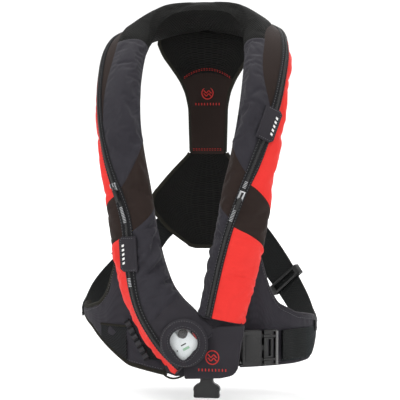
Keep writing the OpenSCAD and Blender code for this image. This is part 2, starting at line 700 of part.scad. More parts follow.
arm_panel(1, below(LEFT_ARM_CUTS[0]), LEFT_ARM_CUTS[1], BROWN_BLACK);  // left_band_outer
neck_panel(1, below(LEFT_CUTS[1]), [LEFT_LAST, LEFT_LAST], CHARCOAL);  // left_lower_grey
arm_panel(1, below(LEFT_ARM_CUTS[1]), [LEFT_LAST, LEFT_LAST], RED);  // left_lower_red
end_caps();
lining(1, LEFT_LAST);  // left_lining
zip_tape(-1, RIGHT_LAST);  // right_zip_tape
zip_tape(1, LEFT_LAST);  // left_zip_tape
zip_slider(-1);  // right_zip_slider
zip_slider(1);  // left_zip_slider
zip_pull(-1);  // right_zip_pull
zip_pull(1);  // left_zip_pull
zip_guard(-1);  // right_zip_guard
zip_guard(1);  // left_zip_guard
window_rim();
window_pane();
front_tab();
inflator_body();
inflator_cap();
manual_lever();
pull_cord();
gas_cylinder();
oral_tube();
oral_valve();
oral_cap();
whistle();
yoke_mesh();
yoke_strap();
back_pad();
ring_tab();
back_ring();
side_strap(-1);  // right_side_strap
side_strap(1);  // left_side_strap
adjuster(-1);  // right_adjuster
adjuster(1);  // left_adjuster
right_wing();
left_wing();
pocket_mesh();
waist_webbing();
buckle_female();
buckle_male();
latch(1);  // upper_latch
latch(-1);  // lower_latch
crotch_webbing();
crotch_buckle();
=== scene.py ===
# %% [markdown]
# # An inflatable life jacket
# The jacket is a padded collar that lies on the chest in two lobes, held by side wings, a waist
# belt and a yoke on the back. The rigid frame comes from the CAD model. This script sews covers
# around it, and it works in metres, with Z up and the wearer looking along -Y.

# %% Load the frame
import bpy
import json
import math
import random
from contextlib import contextmanager
import numpy as np
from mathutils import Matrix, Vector


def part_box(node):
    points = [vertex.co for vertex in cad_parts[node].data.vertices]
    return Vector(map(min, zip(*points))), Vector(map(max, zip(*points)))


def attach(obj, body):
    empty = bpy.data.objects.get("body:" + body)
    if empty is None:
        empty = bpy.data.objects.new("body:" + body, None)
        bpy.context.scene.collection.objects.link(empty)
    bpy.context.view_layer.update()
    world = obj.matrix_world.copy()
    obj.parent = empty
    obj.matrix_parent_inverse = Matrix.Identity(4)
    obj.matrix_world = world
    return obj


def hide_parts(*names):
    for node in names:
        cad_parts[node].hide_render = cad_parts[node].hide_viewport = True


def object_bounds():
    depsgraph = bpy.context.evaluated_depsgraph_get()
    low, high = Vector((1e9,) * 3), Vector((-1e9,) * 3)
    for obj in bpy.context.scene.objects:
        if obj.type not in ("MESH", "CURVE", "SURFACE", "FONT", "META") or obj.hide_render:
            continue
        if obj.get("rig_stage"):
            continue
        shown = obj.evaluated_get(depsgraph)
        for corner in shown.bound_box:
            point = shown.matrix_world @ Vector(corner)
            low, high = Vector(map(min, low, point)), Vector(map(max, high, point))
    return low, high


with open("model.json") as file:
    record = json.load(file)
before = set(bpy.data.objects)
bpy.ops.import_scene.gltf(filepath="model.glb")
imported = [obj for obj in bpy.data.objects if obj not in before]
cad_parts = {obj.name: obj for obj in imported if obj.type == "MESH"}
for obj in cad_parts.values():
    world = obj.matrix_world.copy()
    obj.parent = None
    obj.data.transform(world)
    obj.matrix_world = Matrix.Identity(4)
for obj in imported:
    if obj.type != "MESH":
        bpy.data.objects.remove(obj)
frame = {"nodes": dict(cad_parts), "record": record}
CAD_LOW, CAD_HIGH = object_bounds()
MM = 0.001
print("frame", len(frame["nodes"]), "nodes", [round(v, 3) for v in CAD_HIGH - CAD_LOW])

# %% [markdown]
# ## The view
# The jacket hangs as if on a wearer, so one long lens looks at it from just left of its middle. A
# pale floor lies under it, and large soft lights stand on both sides, as in a plain studio.

# %% Camera and lights
AIM = Vector((0.002, 0.0, -0.240))
CAMERA_AWAY = 2.2
CAMERA_AZIMUTH, CAMERA_RISE = math.radians(8), math.radians(3)


def look(item, place, target):
    item.location = place
    item.rotation_euler = (Vector(target) - Vector(place)).to_track_quat("-Z", "Y").to_euler()


def add_light(name, place, power, size):
    bpy.ops.object.light_add(type="AREA", location=place)
    light = bpy.context.object
    light.name = name
    light.data.energy = power
    light.data.size = size
    look(light, place, AIM)


back = Vector((math.sin(CAMERA_AZIMUTH) * math.cos(CAMERA_RISE),
               -math.cos(CAMERA_AZIMUTH) * math.cos(CAMERA_RISE), math.sin(CAMERA_RISE)))
bpy.ops.object.camera_add()
camera = bpy.context.object
camera.data.lens = 132
camera.data.sensor_width = 36
look(camera, AIM + back * CAMERA_AWAY, AIM)
bpy.context.scene.camera = camera

add_light("Key_light", (-1.5, -1.5, 1.5), 26, 1.1)
add_light("Fill_light", (1.7, -1.5, 0.6), 13, 1.3)
add_light("Top_light", (0.2, 0.5, 1.9), 20, 1.2)
add_light("Back_light", (0.3, 2.0, 0.8), 22, 1.4)

BACKDROP_AT = (0.0, 0.9, 1.9)
add_light("Backdrop_light", BACKDROP_AT, 30, 1.6)
look(bpy.context.object, BACKDROP_AT, (0.0, 3.2, -0.2))
world = bpy.data.worlds.new("Studio")
bpy.context.scene.world = world
world.use_nodes = True
world.node_tree.nodes["Background"].inputs["Color"].default_value = (1, 1, 1, 1)
world.node_tree.nodes["Background"].inputs["Strength"].default_value = 0.6
bpy.context.scene.view_settings.view_transform = "Standard"
print("camera and lights are in place")

# %% [markdown]
# The floor has no far edge to see: a disc whose rim is extruded outwards and up in many small
# steps, so that it curves into a wall like a studio's paper roll.


# %% Floor and the helpers that shape a mesh
def deselect():
    bpy.ops.object.select_all(action="DESELECT")


def choose(piece):
    deselect()
    piece.select_set(True)
    bpy.context.view_layer.objects.active = piece


def coordinates(piece):
    co = np.zeros(len(piece.data.vertices) * 3)
    piece.data.vertices.foreach_get("co", co)
    return co.reshape(-1, 3)


def set_coordinates(piece, co):
    piece.data.vertices.foreach_set("co", co.ravel())
    piece.data.update()


@contextmanager
def editing(piece, action="SELECT"):
    """Edit mode on one piece, with all of it selected or none of it."""
    choose(piece)
    bpy.ops.object.mode_set(mode="EDIT")
    bpy.ops.mesh.select_all(action=action)
    yield
    bpy.ops.object.mode_set(mode="OBJECT")


FLOOR_DROP = 0.02
FLOOR_R, COVE_R, COVE_STEPS = 1.5, 2.2, 24
bpy.ops.mesh.primitive_circle_add(vertices=96, radius=FLOOR_R, fill_type="NGON")
floor = bpy.context.object
floor.name = "Floor"
with editing(floor):
    bpy.ops.mesh.select_mode(type="FACE")
    reach = FLOOR_R
    for step in range(COVE_STEPS):
        a, b = (math.pi / 2 * (step + d) / COVE_STEPS for d in (0, 1))
        wider = FLOOR_R + COVE_R * math.sin(b)
        rise = COVE_R * (math.cos(a) - math.cos(b))
        bpy.ops.mesh.extrude_region_move(TRANSFORM_OT_translate={"value": (0, 0, rise)})
        bpy.ops.transform.resize(value=(wider / reach, wider / reach, 1))
        reach = wider
    bpy.ops.mesh.delete(type="ONLY_FACE")
    bpy.ops.mesh.select_all(action="SELECT")
    bpy.ops.mesh.normals_make_consistent(inside=True)
bpy.ops.object.shade_smooth()
set_coordinates(floor, coordinates(floor) + np.array([0, 0, CAD_LOW.z - FLOOR_DROP]))
floor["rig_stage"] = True
print("floor", len(floor.data.polygons), "faces")

# %% [markdown]
# ## Finishes
# Each cloth is one material. Its weave is read from the piece's own UV map, which is laid out in
# metres, so that threads keep their size on every panel. Effects that several cloths share are node
# groups: a plain weave, a webbing rib, a spacer mesh with its holes, and slow changes of colour.


# %% Node helpers
def new_group(name, inputs, outputs):
    """Makes an empty shader group. Sockets are (name, kind, default)."""
    group = bpy.data.node_groups.new(name, "ShaderNodeTree")
    for label, kind, default in inputs:
        socket = group.interface.new_socket(name=label, in_out="INPUT", socket_type=kind)
        if default is not None:
            socket.default_value = default
    for label, kind in outputs:
        group.interface.new_socket(name=label, in_out="OUTPUT", socket_type=kind)
    return group, group.nodes.new("NodeGroupInput"), group.nodes.new("NodeGroupOutput")


def calc(tree, operation, *values):
    """A Math node. Each value is a number or another node's socket."""
    node = tree.nodes.new("ShaderNodeMath")
    node.operation = operation
    for socket, value in zip(node.inputs, values):
        if isinstance(value, (int, float)):
            socket.default_value = value
        else:
            tree.links.new(value, socket)
    return node.outputs[0]


def split(tree, vector):
    node = tree.nodes.new("ShaderNodeSeparateXYZ")
    tree.links.new(vector, node.inputs[0])
    return node.outputs


FLOAT, VECTOR = "NodeSocketFloat", "NodeSocketVector"


def make_weave():
    """Plain weave: over and under threads, as a height and a gap mask."""
    group, start, end = new_group("Plain_weave",
                                  [("Vector", VECTOR, None), ("Pitch", FLOAT, 0.0008)],
                                  [("Height", FLOAT), ("Gap", FLOAT)])
    x, y, _ = split(group, start.outputs["Vector"])
    turn = calc(group, "DIVIDE", math.pi, start.outputs["Pitch"])
    warp = calc(group, "SINE", calc(group, "MULTIPLY", x, turn))
    weft = calc(group, "SINE", calc(group, "MULTIPLY", y, turn))
    crossing = calc(group, "MULTIPLY", warp, weft)
    height = calc(group, "MULTIPLY_ADD", crossing, 0.5, 0.5)
    group.links.new(height, end.inputs["Height"])
    group.links.new(calc(group, "SUBTRACT", 1.0, calc(group, "ABSOLUTE", crossing)),
                    end.inputs["Gap"])
    return group


def make_ribs():
    """Webbing: ribs across the strap, each broken by the warp threads beside it."""
    group, start, end = new_group("Webbing_ribs",
                                  [("Vector", VECTOR, None), ("Pitch", FLOAT, 0.0022)],
                                  [("Height", FLOAT)])
    x, y, _ = split(group, start.outputs["Vector"])
    turn = calc(group, "DIVIDE", math.pi * 2, start.outputs["Pitch"])
    zigzag = calc(group, "PINGPONG", x, 0.0025)
    rib = calc(group, "SINE", calc(group, "MULTIPLY", calc(group, "ADD", y, zigzag), turn))
    thread = calc(group, "SINE", calc(group, "MULTIPLY", x, turn))
    height = calc(group, "MULTIPLY_ADD", thread, 0.2, calc(group, "MULTIPLY_ADD", rib, 0.35, 0.5))
    group.links.new(height, end.inputs["Height"])
    return group


def make_spacer():
    """Spacer mesh: rows of round holes, each row half a step on from the last."""
    group, start, end = new_group("Spacer_mesh",
                                  [("Vector", VECTOR, None), ("Pitch", FLOAT, 0.0032)],
                                  [("Height", FLOAT), ("Hole", FLOAT)])
    mapping = group.nodes.new("ShaderNodeMapping")
    mapping.inputs["Rotation"].default_value = (0, 0, math.radians(45))
    group.links.new(start.outputs["Vector"], mapping.inputs["Vector"])
    cells = group.nodes.new("ShaderNodeTexVoronoi")
    cells.voronoi_dimensions = "2D"
    cells.inputs["Randomness"].default_value = 0
    group.links.new(mapping.outputs[0], cells.inputs["Vector"])
    group.links.new(calc(group, "DIVIDE", 1.0, start.outputs["Pitch"]), cells.inputs["Scale"])
    ramp = group.nodes.new("ShaderNodeMapRange")
    ramp.inputs["From Min"].default_value = 0.22
    ramp.inputs["From Max"].default_value = 0.46
    ramp.interpolation_type = "SMOOTHSTEP"
    group.links.new(cells.outputs["Distance"], ramp.inputs["Value"])
    group.links.new(ramp.outputs[0], end.inputs["Height"])
    group.links.new(calc(group, "SUBTRACT", 1.0, ramp.outputs[0]), end.inputs["Hole"])
    return group


def make_cloudy():
    """Slow changes over a piece: wear, dust and uneven dye. One wide and one fine noise."""
    group, start, end = new_group("Cloudy", [("Scale", FLOAT, 25.0)],
                                  [("Mask", FLOAT), ("Fine", FLOAT)])
    place = group.nodes.new("ShaderNodeTexCoord")
    for label, factor in (("Mask", 1.0), ("Fine", 40.0)):
        noise = group.nodes.new("ShaderNodeTexNoise")
        noise.inputs["Detail"].default_value = 4
        group.links.new(place.outputs["Object"], noise.inputs["Vector"])
        group.links.new(calc(group, "MULTIPLY", start.outputs["Scale"], factor),
                        noise.inputs["Scale"])
        group.links.new(noise.outputs[0], end.inputs[label])
    return group


WEAVE, RIBS, SPACER, CLOUDY = make_weave(), make_ribs(), make_spacer(), make_cloudy()
print("groups", [g.name for g in bpy.data.node_groups])


# %% A function that dyes any of the finishes
def place_group(tree, group, **values):
    node = tree.nodes.new("ShaderNodeGroup")
    node.node_tree = group
    for label, value in values.items():
        node.inputs[label].default_value = value
    return node


def blend_colour(tree, dark, light, factor):
    mix = tree.nodes.new("ShaderNodeMix")
    mix.data_type = "RGBA"
    for label, colour in (("A", dark), ("B", light)):
        socket = [i for i in mix.inputs if i.name == label and i.type == "RGBA"][0]
        if isinstance(colour, tuple):
            socket.default_value = (*colour, 1)
        else:
            tree.links.new(colour, socket)
    tree.links.new(factor, mix.inputs["Factor"])
    return [o for o in mix.outputs if o.type == "RGBA"][0]


def finish(name, dark, light, pattern=None, pitch=0.001, bump=0.0003, rough=0.8, cloud_scale=25.0,
           sheen=0.0, metallic=0.0, rough_spread=0.12, strength=0.6, hole_shade=None):
    """A finish: slow colour changes, a pattern's relief and painted shade, and a fine grain."""
    material = bpy.data.materials.new(name)
    material.use_nodes = True
    tree = material.node_tree
    shader = tree.nodes["Principled BSDF"]
    cloudy = place_group(tree, CLOUDY, Scale=cloud_scale)
    colour = blend_colour(tree, dark, light, cloudy.outputs["Mask"])
    height = cloudy.outputs["Fine"]
    if pattern:
        uv = tree.nodes.new("ShaderNodeUVMap")
        cloth = place_group(tree, pattern, Pitch=pitch)
        tree.links.new(uv.outputs[0], cloth.inputs["Vector"])
        height = calc(tree, "MULTIPLY_ADD", cloudy.outputs["Fine"], 0.35, cloth.outputs["Height"])
        # Painted shade: the holes of a spacer mesh take a darker colour.
        if hole_shade:
            colour = blend_colour(tree, colour, hole_shade, cloth.outputs["Hole"])
        # Painted shade: a weave's gaps and the valleys between ribs are darkened in the colour.
        elif pattern is WEAVE:
            painted_recess_shade = calc(tree, "MULTIPLY", cloth.outputs["Gap"], 0.45)
            colour = blend_colour(tree, colour, tuple(0.72 * c for c in dark), painted_recess_shade)
        else:
            painted_recess_shade = calc(tree, "SUBTRACT", 0.8, cloth.outputs["Height"])
            colour = blend_colour(tree, colour, tuple(0.45 * c for c in dark), painted_recess_shade)
    tree.links.new(colour, shader.inputs["Base Color"])
    spread = calc(tree, "MULTIPLY_ADD", cloudy.outputs["Mask"], rough_spread,
                  rough - rough_spread / 2)
    tree.links.new(spread, shader.inputs["Roughness"])
    relief = tree.nodes.new("ShaderNodeBump")
    relief.inputs["Distance"].default_value = bump
    relief.inputs["Strength"].default_value = strength
    tree.links.new(height, relief.inputs["Height"])
    tree.links.new(relief.outputs[0], shader.inputs["Normal"])
    shader.inputs["Metallic"].default_value = metallic
    shader.inputs["Sheen Weight"].default_value = sheen
    shader.inputs["Specular IOR Level"].default_value = 0.16 if pattern else 0.4
    return material


CHARCOAL = finish("Charcoal_nylon", (0.022, 0.020, 0.026), (0.037, 0.035, 0.043), WEAVE, 0.0009,
                  sheen=0.06, rough=0.74)
SOFTSHELL = finish("Softshell_brown_black", (0.018, 0.011, 0.009), (0.031, 0.020, 0.017), WEAVE,
                   0.0006, bump=0.00015, sheen=0.04, rough=0.85)
RED = finish("Red_nylon", (0.74, 0.024, 0.020), (0.88, 0.050, 0.040), WEAVE, 0.0009, rough=0.66,
             sheen=0.06)
# The hole colours of the two meshes are painted shade inside the holes.
MESH = finish("Spacer_mesh_black", (0.006, 0.006, 0.005), (0.013, 0.013, 0.012), SPACER, 0.0034,
              bump=0.0012, rough=0.8, hole_shade=(0.0015, 0.0015, 0.0015), strength=0.9)
POCKET = finish("Pocket_mesh_black", (0.012, 0.013, 0.014), (0.024, 0.026, 0.028), SPACER, 0.0026,
                bump=0.0008, rough=0.75, hole_shade=(0.004, 0.004, 0.004), strength=0.8)
NEOPRENE = finish("Neoprene_charcoal", (0.022, 0.020, 0.025), (0.036, 0.033, 0.039), WEAVE, 0.0005,
                  bump=0.00012, rough=0.8, sheen=0.07)
WEBBING = finish("Webbing_black", (0.007, 0.008, 0.008), (0.016, 0.018, 0.018), RIBS, 0.0026,
                 bump=0.0009, rough=0.62, strength=0.9)
TAPE = finish("Zip_tape_black", (0.008, 0.008, 0.009), (0.018, 0.018, 0.020), RIBS, 0.0011,
              bump=0.0002, rough=0.6)
BINDING = finish("Binding_olive_black", (0.016, 0.015, 0.011), (0.030, 0.028, 0.021), RIBS, 0.0012,
                 bump=0.0003, rough=0.8)
RIB_MESH = finish("Rib_mesh_black", (0.009, 0.012, 0.013), (0.020, 0.025, 0.027), RIBS, 0.0040,
                  bump=0.0011, rough=0.7, strength=0.9)
LADDER_WEB = finish("Webbing_grey", (0.040, 0.040, 0.044), (0.070, 0.070, 0.075), RIBS, 0.0022,
                    bump=0.0006, rough=0.7, strength=0.9)
PLASTIC = finish("Acetal_black", (0.008, 0.008, 0.008), (0.016, 0.016, 0.016), bump=0.00008,
                 rough=0.42, cloud_scale=60)
STEEL = finish("Brushed_steel", (0.42, 0.43, 0.44), (0.62, 0.63, 0.64), bump=0.00005, rough=0.3,
               metallic=1.0, cloud_scale=90)
THREAD_DARK = finish("Thread_grey", (0.07, 0.07, 0.075), (0.12, 0.12, 0.125), bump=0.0001)
THREAD_RED = finish("Thread_red", (0.42, 0.018, 0.014), (0.60, 0.035, 0.030), bump=0.0001)
PRINT_WHITE = finish("Print_white", (0.72, 0.72, 0.70), (0.85, 0.85, 0.84), bump=0.00005,
                     rough=0.55)
HOUSING = finish("Inflator_white", (0.66, 0.70, 0.71), (0.80, 0.83, 0.84), bump=0.00006, rough=0.35,
                 cloud_scale=50)
LABEL_GREEN = finish("Indicator_green", (0.22, 0.42, 0.28), (0.34, 0.55, 0.38), bump=0.00005,
                     rough=0.4)
LEVER = finish("Lever_yellow", (0.62, 0.46, 0.03), (0.78, 0.62, 0.06), bump=0.00006, rough=0.4)
ORANGE = finish("Whistle_orange", (0.70, 0.19, 0.02), (0.85, 0.28, 0.04), bump=0.00006, rough=0.4)
BLADDER = finish("Bladder_yellow", (0.66, 0.50, 0.03), (0.82, 0.66, 0.06), bump=0.0002, rough=0.5)
VALVE = finish("Valve_red", (0.42, 0.03, 0.02), (0.58, 0.06, 0.04), bump=0.00006, rough=0.4)
FLOOR = finish("Pale_floor", (0.86, 0.86, 0.86), (0.90, 0.90, 0.90), bump=0.0001, rough=0.9,
               cloud_scale=1.5)


FILM = finish("Window_film", (0.93, 0.95, 0.95), (0.97, 0.98, 0.98), bump=0.00004, rough=0.1,
              rough_spread=0.06)
FILM_HAZE = 0.03
FILM.node_tree.nodes["Principled BSDF"].inputs["Alpha"].default_value = FILM_HAZE
floor.data.materials.append(FLOOR)
print("materials", len(bpy.data.materials))

# %% [markdown]
# ## The collar's form
# The collar is one bolster bent into a horseshoe: down the right chest, round the nape and down the
# left chest. A smooth line through a few stations gives its middle, and a rounded section of
# changing width is set square to that line. Every panel and seam is then a place on that surface: a
# station along it and an angle round it, where 0 degrees is the neck side and 90 the front.


# %% The bolster's surface
def unit(v):
    return v / np.linalg.norm(v)


def spline(points, s):
    n = len(points) - 1
    i = max(0, min(n - 1, math.floor(s)))
    t = s - i
    a, b, c, d = points[max(i - 1, 0)], points[i], points[i + 1], points[min(i + 2, n)]
    return 0.5 * (2 * b + (c - a) * t + (2 * a - 5 * b + 4 * c - d) * t * t
                  + (3 * b - a - 3 * c + d) * t ** 3)


NAPE = [(0, 68, 37)]
UPPER = [(54, 56, 31), (91, 24, 10), (106, -22, -20), (108, -62, -63), (105, -88, -112),
         (97, -104, -168), (86, -113, -224), (76, -119, -282)]
RIGHT_END = [(-64, -121, -340), (-46, -123, -384), (-16, -127, -421), (14, -129, -448)]
LEFT_END = [(63, -122, -340), (50, -125, -402)]
UPPER_W = [min(73, 58 + 6 * k) for k in range(1, 9)]
UPPER_T = [min(38, 34 + 2 * k) for k in range(1, 9)]
PATH = [np.array(p) * MM for p in RIGHT_END[::-1] + [(-x, y, z) for x, y, z in UPPER[::-1]]
        + NAPE + UPPER + LEFT_END]
WIDTH = [w * MM for w in [90, 88, 81, 78] + UPPER_W[::-1] + [58] + UPPER_W + [70, 66]]
DEPTH = [t * MM for t in [40] * 4 + UPPER_T[::-1] + [34] + UPPER_T + [38, 38]]
NAPE_AT = 12
LAST = len(PATH) - 1
stations = {}


def station_frame(s):
    """The middle, the neckward and outward directions, and the way along, at a station."""
    if s not in stations:
        middle = spline(PATH, s)
        along = unit(spline(PATH, min(s + 0.02, LAST)) - spline(PATH, max(s - 0.02, 0)))
        lift = max(0.0, min(1.0, (middle[2] / MM + 140) / 160))
        facing = np.array([middle[0] * 10 * (0.5 - 0.3 * lift), middle[1] * 10, lift])
        neckward = unit(np.cross(along, facing))
        stations[s] = (middle, neckward, np.cross(neckward, along), along)
    return stations[s]


def lobe_point(s, angle, off=0.0):
    middle, neckward, outward, _ = station_frame(s)
    c, d = math.cos(math.radians(angle)), math.sin(math.radians(angle))
    return (middle + neckward * (spline(WIDTH, s) / 2 + off) * math.copysign(abs(c) ** 0.85, c)
            + outward * (spline(DEPTH, s) / 2 + off) * math.copysign(abs(d) ** 0.85, d))


def lobe_normal(s, angle):
    across = lobe_point(s, angle + 1) - lobe_point(s, angle - 1)
    return unit(np.cross(station_frame(s)[3], across))


def station(side, k):
    return NAPE_AT + side * k


# %% Seam lines, as stations and angles
RIGHT, LEFT = -1, 1
ZIP = {RIGHT: [(0, 150), (2, 138), (3, 130), (5, 122), (5.7, 115), (6.6, 103), (7.2, 94), (7.6, 88),
               (8, 90), (9, 101), (10, 114), (11, 124), (12, 128)],
       LEFT: [(0, 150), (1, 138), (2, 124), (3.6, 118), (4.7, 107), (5.7, 90), (6.8, 77), (7.5, 65),
              (7.9, 58), (8.5, 56), (10, 56)]}
SHOULDER = {RIGHT: [(1.5, 136), (2.3, 104), (3, 92), (3.6, 92), (4.5, 104), (5.2, 110), (12, 110)],
            LEFT: [(1.2, 132), (2.6, 76), (3.8, 68), (4.5, 82), (4.9, 95), (10, 95)]}
ZIP_HALF = 9.0
NECK_EDGE, ARM_EDGE, LINING_EDGE = -20.0, 200.0, 340.0
END = {RIGHT: 12.0, LEFT: 10.0}
SIDE_NAME = {RIGHT: "right", LEFT: "left"}


def read(table, k):
    return float(np.interp(k, [row[0] for row in table], [row[1] for row in table]))


def smooth_read(table, at, reach=2.0):
    """A table's value averaged over its neighbourhood, so that a line has no corners."""
    return sum(read(table, at + d) for d in (-reach, -reach / 2, 0, reach / 2, reach)) / 5


def smooth_zip(side, k):
    return smooth_read(ZIP[side], k, 0.3)


def neck_of_zip(side, k):
    return smooth_zip(side, k) - ZIP_HALF


def arm_of_zip(side, k):
    return smooth_zip(side, k) + ZIP_HALF


def shoulder_line(side, k):
    return min(neck_of_zip(side, k), smooth_read(SHOULDER[side], k, 0.3))


print("collar", round(sum(np.linalg.norm(PATH[i + 1] - PATH[i]) for i in range(LAST)), 3), "m long")


# %% [markdown]
# ## Sewing a panel
# A real cover is flat cloth, cut a little larger than the shape under it, sewn along its edges and
# pushed out by what it holds. Each panel starts as a grid primitive whose points are moved onto the
# bolster. Its edges are pinned as seams, the cloth is grown by a few percent, and air pressure
# puffs it, so that wrinkles and the valley at each seam come from the cloth simulation itself.


# %% Grid, pin and puff
def grid_size(points, rows, cols):
    """The length and width of a grid of points, measured along its middle lines."""
    grid = points.reshape(rows + 1, cols + 1, 3)
    return [np.linalg.norm(np.diff(line, axis=0), axis=1).sum()
            for line in (grid[:, cols // 2], grid[rows // 2])]


def sheet_grid(name, rows, cols, place):
    """A grid primitive moved onto place(down, across), with its UV map in metres."""
    deselect()
    bpy.ops.mesh.primitive_grid_add(x_subdivisions=cols, y_subdivisions=rows, size=1)
    piece = bpy.context.object
    piece.name = name
    flat = coordinates(piece)
    where = np.array([place(0.5 - y, x + 0.5) for x, y, _ in flat])
    length, width = grid_size(where, rows, cols)
    uv = piece.data.uv_layers.active.data
    for loop in uv:
        loop.uv = (loop.uv[0] * width, loop.uv[1] * length)
    set_coordinates(piece, where)
    return piece


def face_away(piece, middle):
    """Turns the faces over if they look towards the middle function's points."""
    votes = sum(1 if p.normal.dot(p.center - Vector(middle(p.center))) > 0 else -1
                for p in piece.data.polygons)
    if votes < 0:
        with editing(piece):
            bpy.ops.mesh.flip_normals()
    return piece


def edge_points(piece):
    """The points of a sheet's free edges."""
    uses = {}
    for p in piece.data.polygons:
        for key in p.edge_keys:
            uses[key] = uses.get(key, 0) + 1
    return sorted({v for key, n in uses.items() if n == 1 for v in key})


SIM_FRAMES = 20


def puff(piece, pressure=3.0, growth=0.03, cap=0.005, pinned=None):
    """Cloth with pinned seams, a little larger than its frame, pushed out by pressure."""
    rest = coordinates(piece)
    group = piece.vertex_groups.new(name="seam")
    group.add(edge_points(piece) if pinned is None else pinned, 1.0, "REPLACE")
    cloth = piece.modifiers.new("Cloth", "CLOTH")
    s = cloth.settings
    s.quality = 5
    s.mass = 0.15
    s.tension_stiffness = s.compression_stiffness = 12
    s.shear_stiffness = 4
    s.bending_stiffness = 0.25
    s.use_pressure = True
    s.uniform_pressure_force = pressure
    s.shrink_min = -growth
    s.vertex_group_mass = "seam"
    s.effector_weights.gravity = 0
    cloth.collision_settings.use_collision = False
    cloth.point_cache.frame_end = SIM_FRAMES
    for step in range(1, SIM_FRAMES + 1):
        bpy.context.scene.frame_set(step)
    shaped = piece.evaluated_get(bpy.context.evaluated_depsgraph_get())
    moved = np.array([v.co for v in shaped.data.vertices]) - rest
    far = np.linalg.norm(moved, axis=1, keepdims=True)
    moved *= np.minimum(1, cap / np.maximum(far, 1e-9))
    choose(piece)
    piece.modifiers.remove(cloth)
    piece.vertex_groups.remove(group)
    set_coordinates(piece, rest + moved)
    bpy.context.scene.frame_set(1)


FOLD_TILT, FOLD_REACH = 0.35, 0.5


def add_folds(piece, rows, cols, count, depth, seed):
    """Lays creases over a grid sheet: a ridge and a valley beside it, fading at both ends."""
    dice = random.Random(seed)
    co = coordinates(piece)
    normals = np.array([v.normal for v in piece.data.vertices])
    length, width = grid_size(co, rows, cols)
    down, across = np.meshgrid(np.linspace(0, length, rows + 1), np.linspace(0, width, cols + 1),
                               indexing="ij")
    seam = np.minimum(np.minimum(across, width - across), np.minimum(down, length - down))
    fade = (np.clip(seam / 0.007, 0, 1) * np.clip(across / 0.02, 0, 1)).ravel()
    push = np.zeros(len(co))
    for _ in range(count):
        at_down = length * dice.uniform(0.0, 1.0)
        at_across = width * dice.choice((dice.uniform(0, 0.35), dice.uniform(0.55, 1)))
        turn = dice.uniform(-FOLD_TILT, FOLD_TILT)
        along = (across - at_across) * math.cos(turn) + (down - at_down) * math.sin(turn)
        off = (down - at_down) * math.cos(turn) - (across - at_across) * math.sin(turn)
        half = width * dice.uniform(0.5, 1) * FOLD_REACH
        thin = dice.uniform(0.0028, 0.0055)
        ridge = np.exp(-(off / thin) ** 2) - 0.7 * np.exp(-((off + 1.7 * thin) / thin) ** 2)
        push += (depth * dice.uniform(0.5, 1) * ridge * np.exp(-(along / half) ** 2)).ravel()
    set_coordinates(piece, co + normals * (push * fade)[:, None])


def apply_all(piece):
    choose(piece)
    for name in [m.name for m in piece.modifiers]:
        bpy.ops.object.modifier_apply(modifier=name)


def add_subdivision(piece):
    fine = piece.modifiers.new("Fine", "SUBSURF")
    fine.levels = fine.render_levels = 1


COVER_T = 1.6 * MM


def thicken(piece, thick=COVER_T, smooth=True, offset=-1.0):
    """One subdivision and a wall, both applied, with smooth shading."""
    if smooth:
        add_subdivision(piece)
    wall = piece.modifiers.new("Wall", "SOLIDIFY")
    wall.thickness = thick
    wall.offset = offset
    apply_all(piece)
    bpy.ops.object.shade_smooth_by_angle(angle=math.radians(50))


def dress(piece, material, slot, *nodes, body="root", fill=None):
    """Gives a piece its material, its body and the CAD nodes that it stands for.
    Its filling is not used.
    """
    piece.data.materials.clear()
    piece.data.materials.append(material)
    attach(piece, body)
    if nodes:
        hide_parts(*nodes)
    return piece


def bolster_middle(point):
    """The nearest station's middle, for telling outwards from inwards."""
    return min((station_frame(i / 4)[0] for i in range(4 * LAST + 1)),
               key=lambda m: np.sum((m - np.array(point)) ** 2))


def lobe_sheet(name, side, top, bottom, neck, arm, rows, cols, off=0.0):
    def place(down, across):
        k = ((1 - down) * ((1 - across) * top[0] + across * top[1])
             + down * ((1 - across) * bottom[0] + across * bottom[1]))
        return lobe_point(station(side, k), (1 - across) * neck(k) + across * arm(k), off)
    return face_away(sheet_grid(name, rows, cols, place), bolster_middle)


# %% [markdown]
# ## Cover panels
# Each side has a brown-black shoulder panel, an upper grey and an upper red panel, a brown-black
# band across the chest in two parts beside the zip, and a lower grey and a lower red panel. They
# are the same panels on both sides with other seams, so one table holds them.

# %% Sew the cover panels
CUT = {RIGHT: {"neck": [(5.8, 6.9), (7.45, 7.95)], "arm": [(7.05, 7.4), (8.05, 8.3)]},
       LEFT: {"neck": [(5.8, 6.55), (7.3, 7.65)], "arm": [(6.8, 7.5), (7.85, 8.3)]}}
LOWER_END = {RIGHT: (10.1, 10.4), LEFT: (10.0, 10.0)}
SHOULDER_TIP = {RIGHT: 5.2, LEFT: 4.9}
RED_START = {RIGHT: 3.2, LEFT: 1.9}


def level(k):
    return (k, k)


def constant(value):
    return lambda k: value


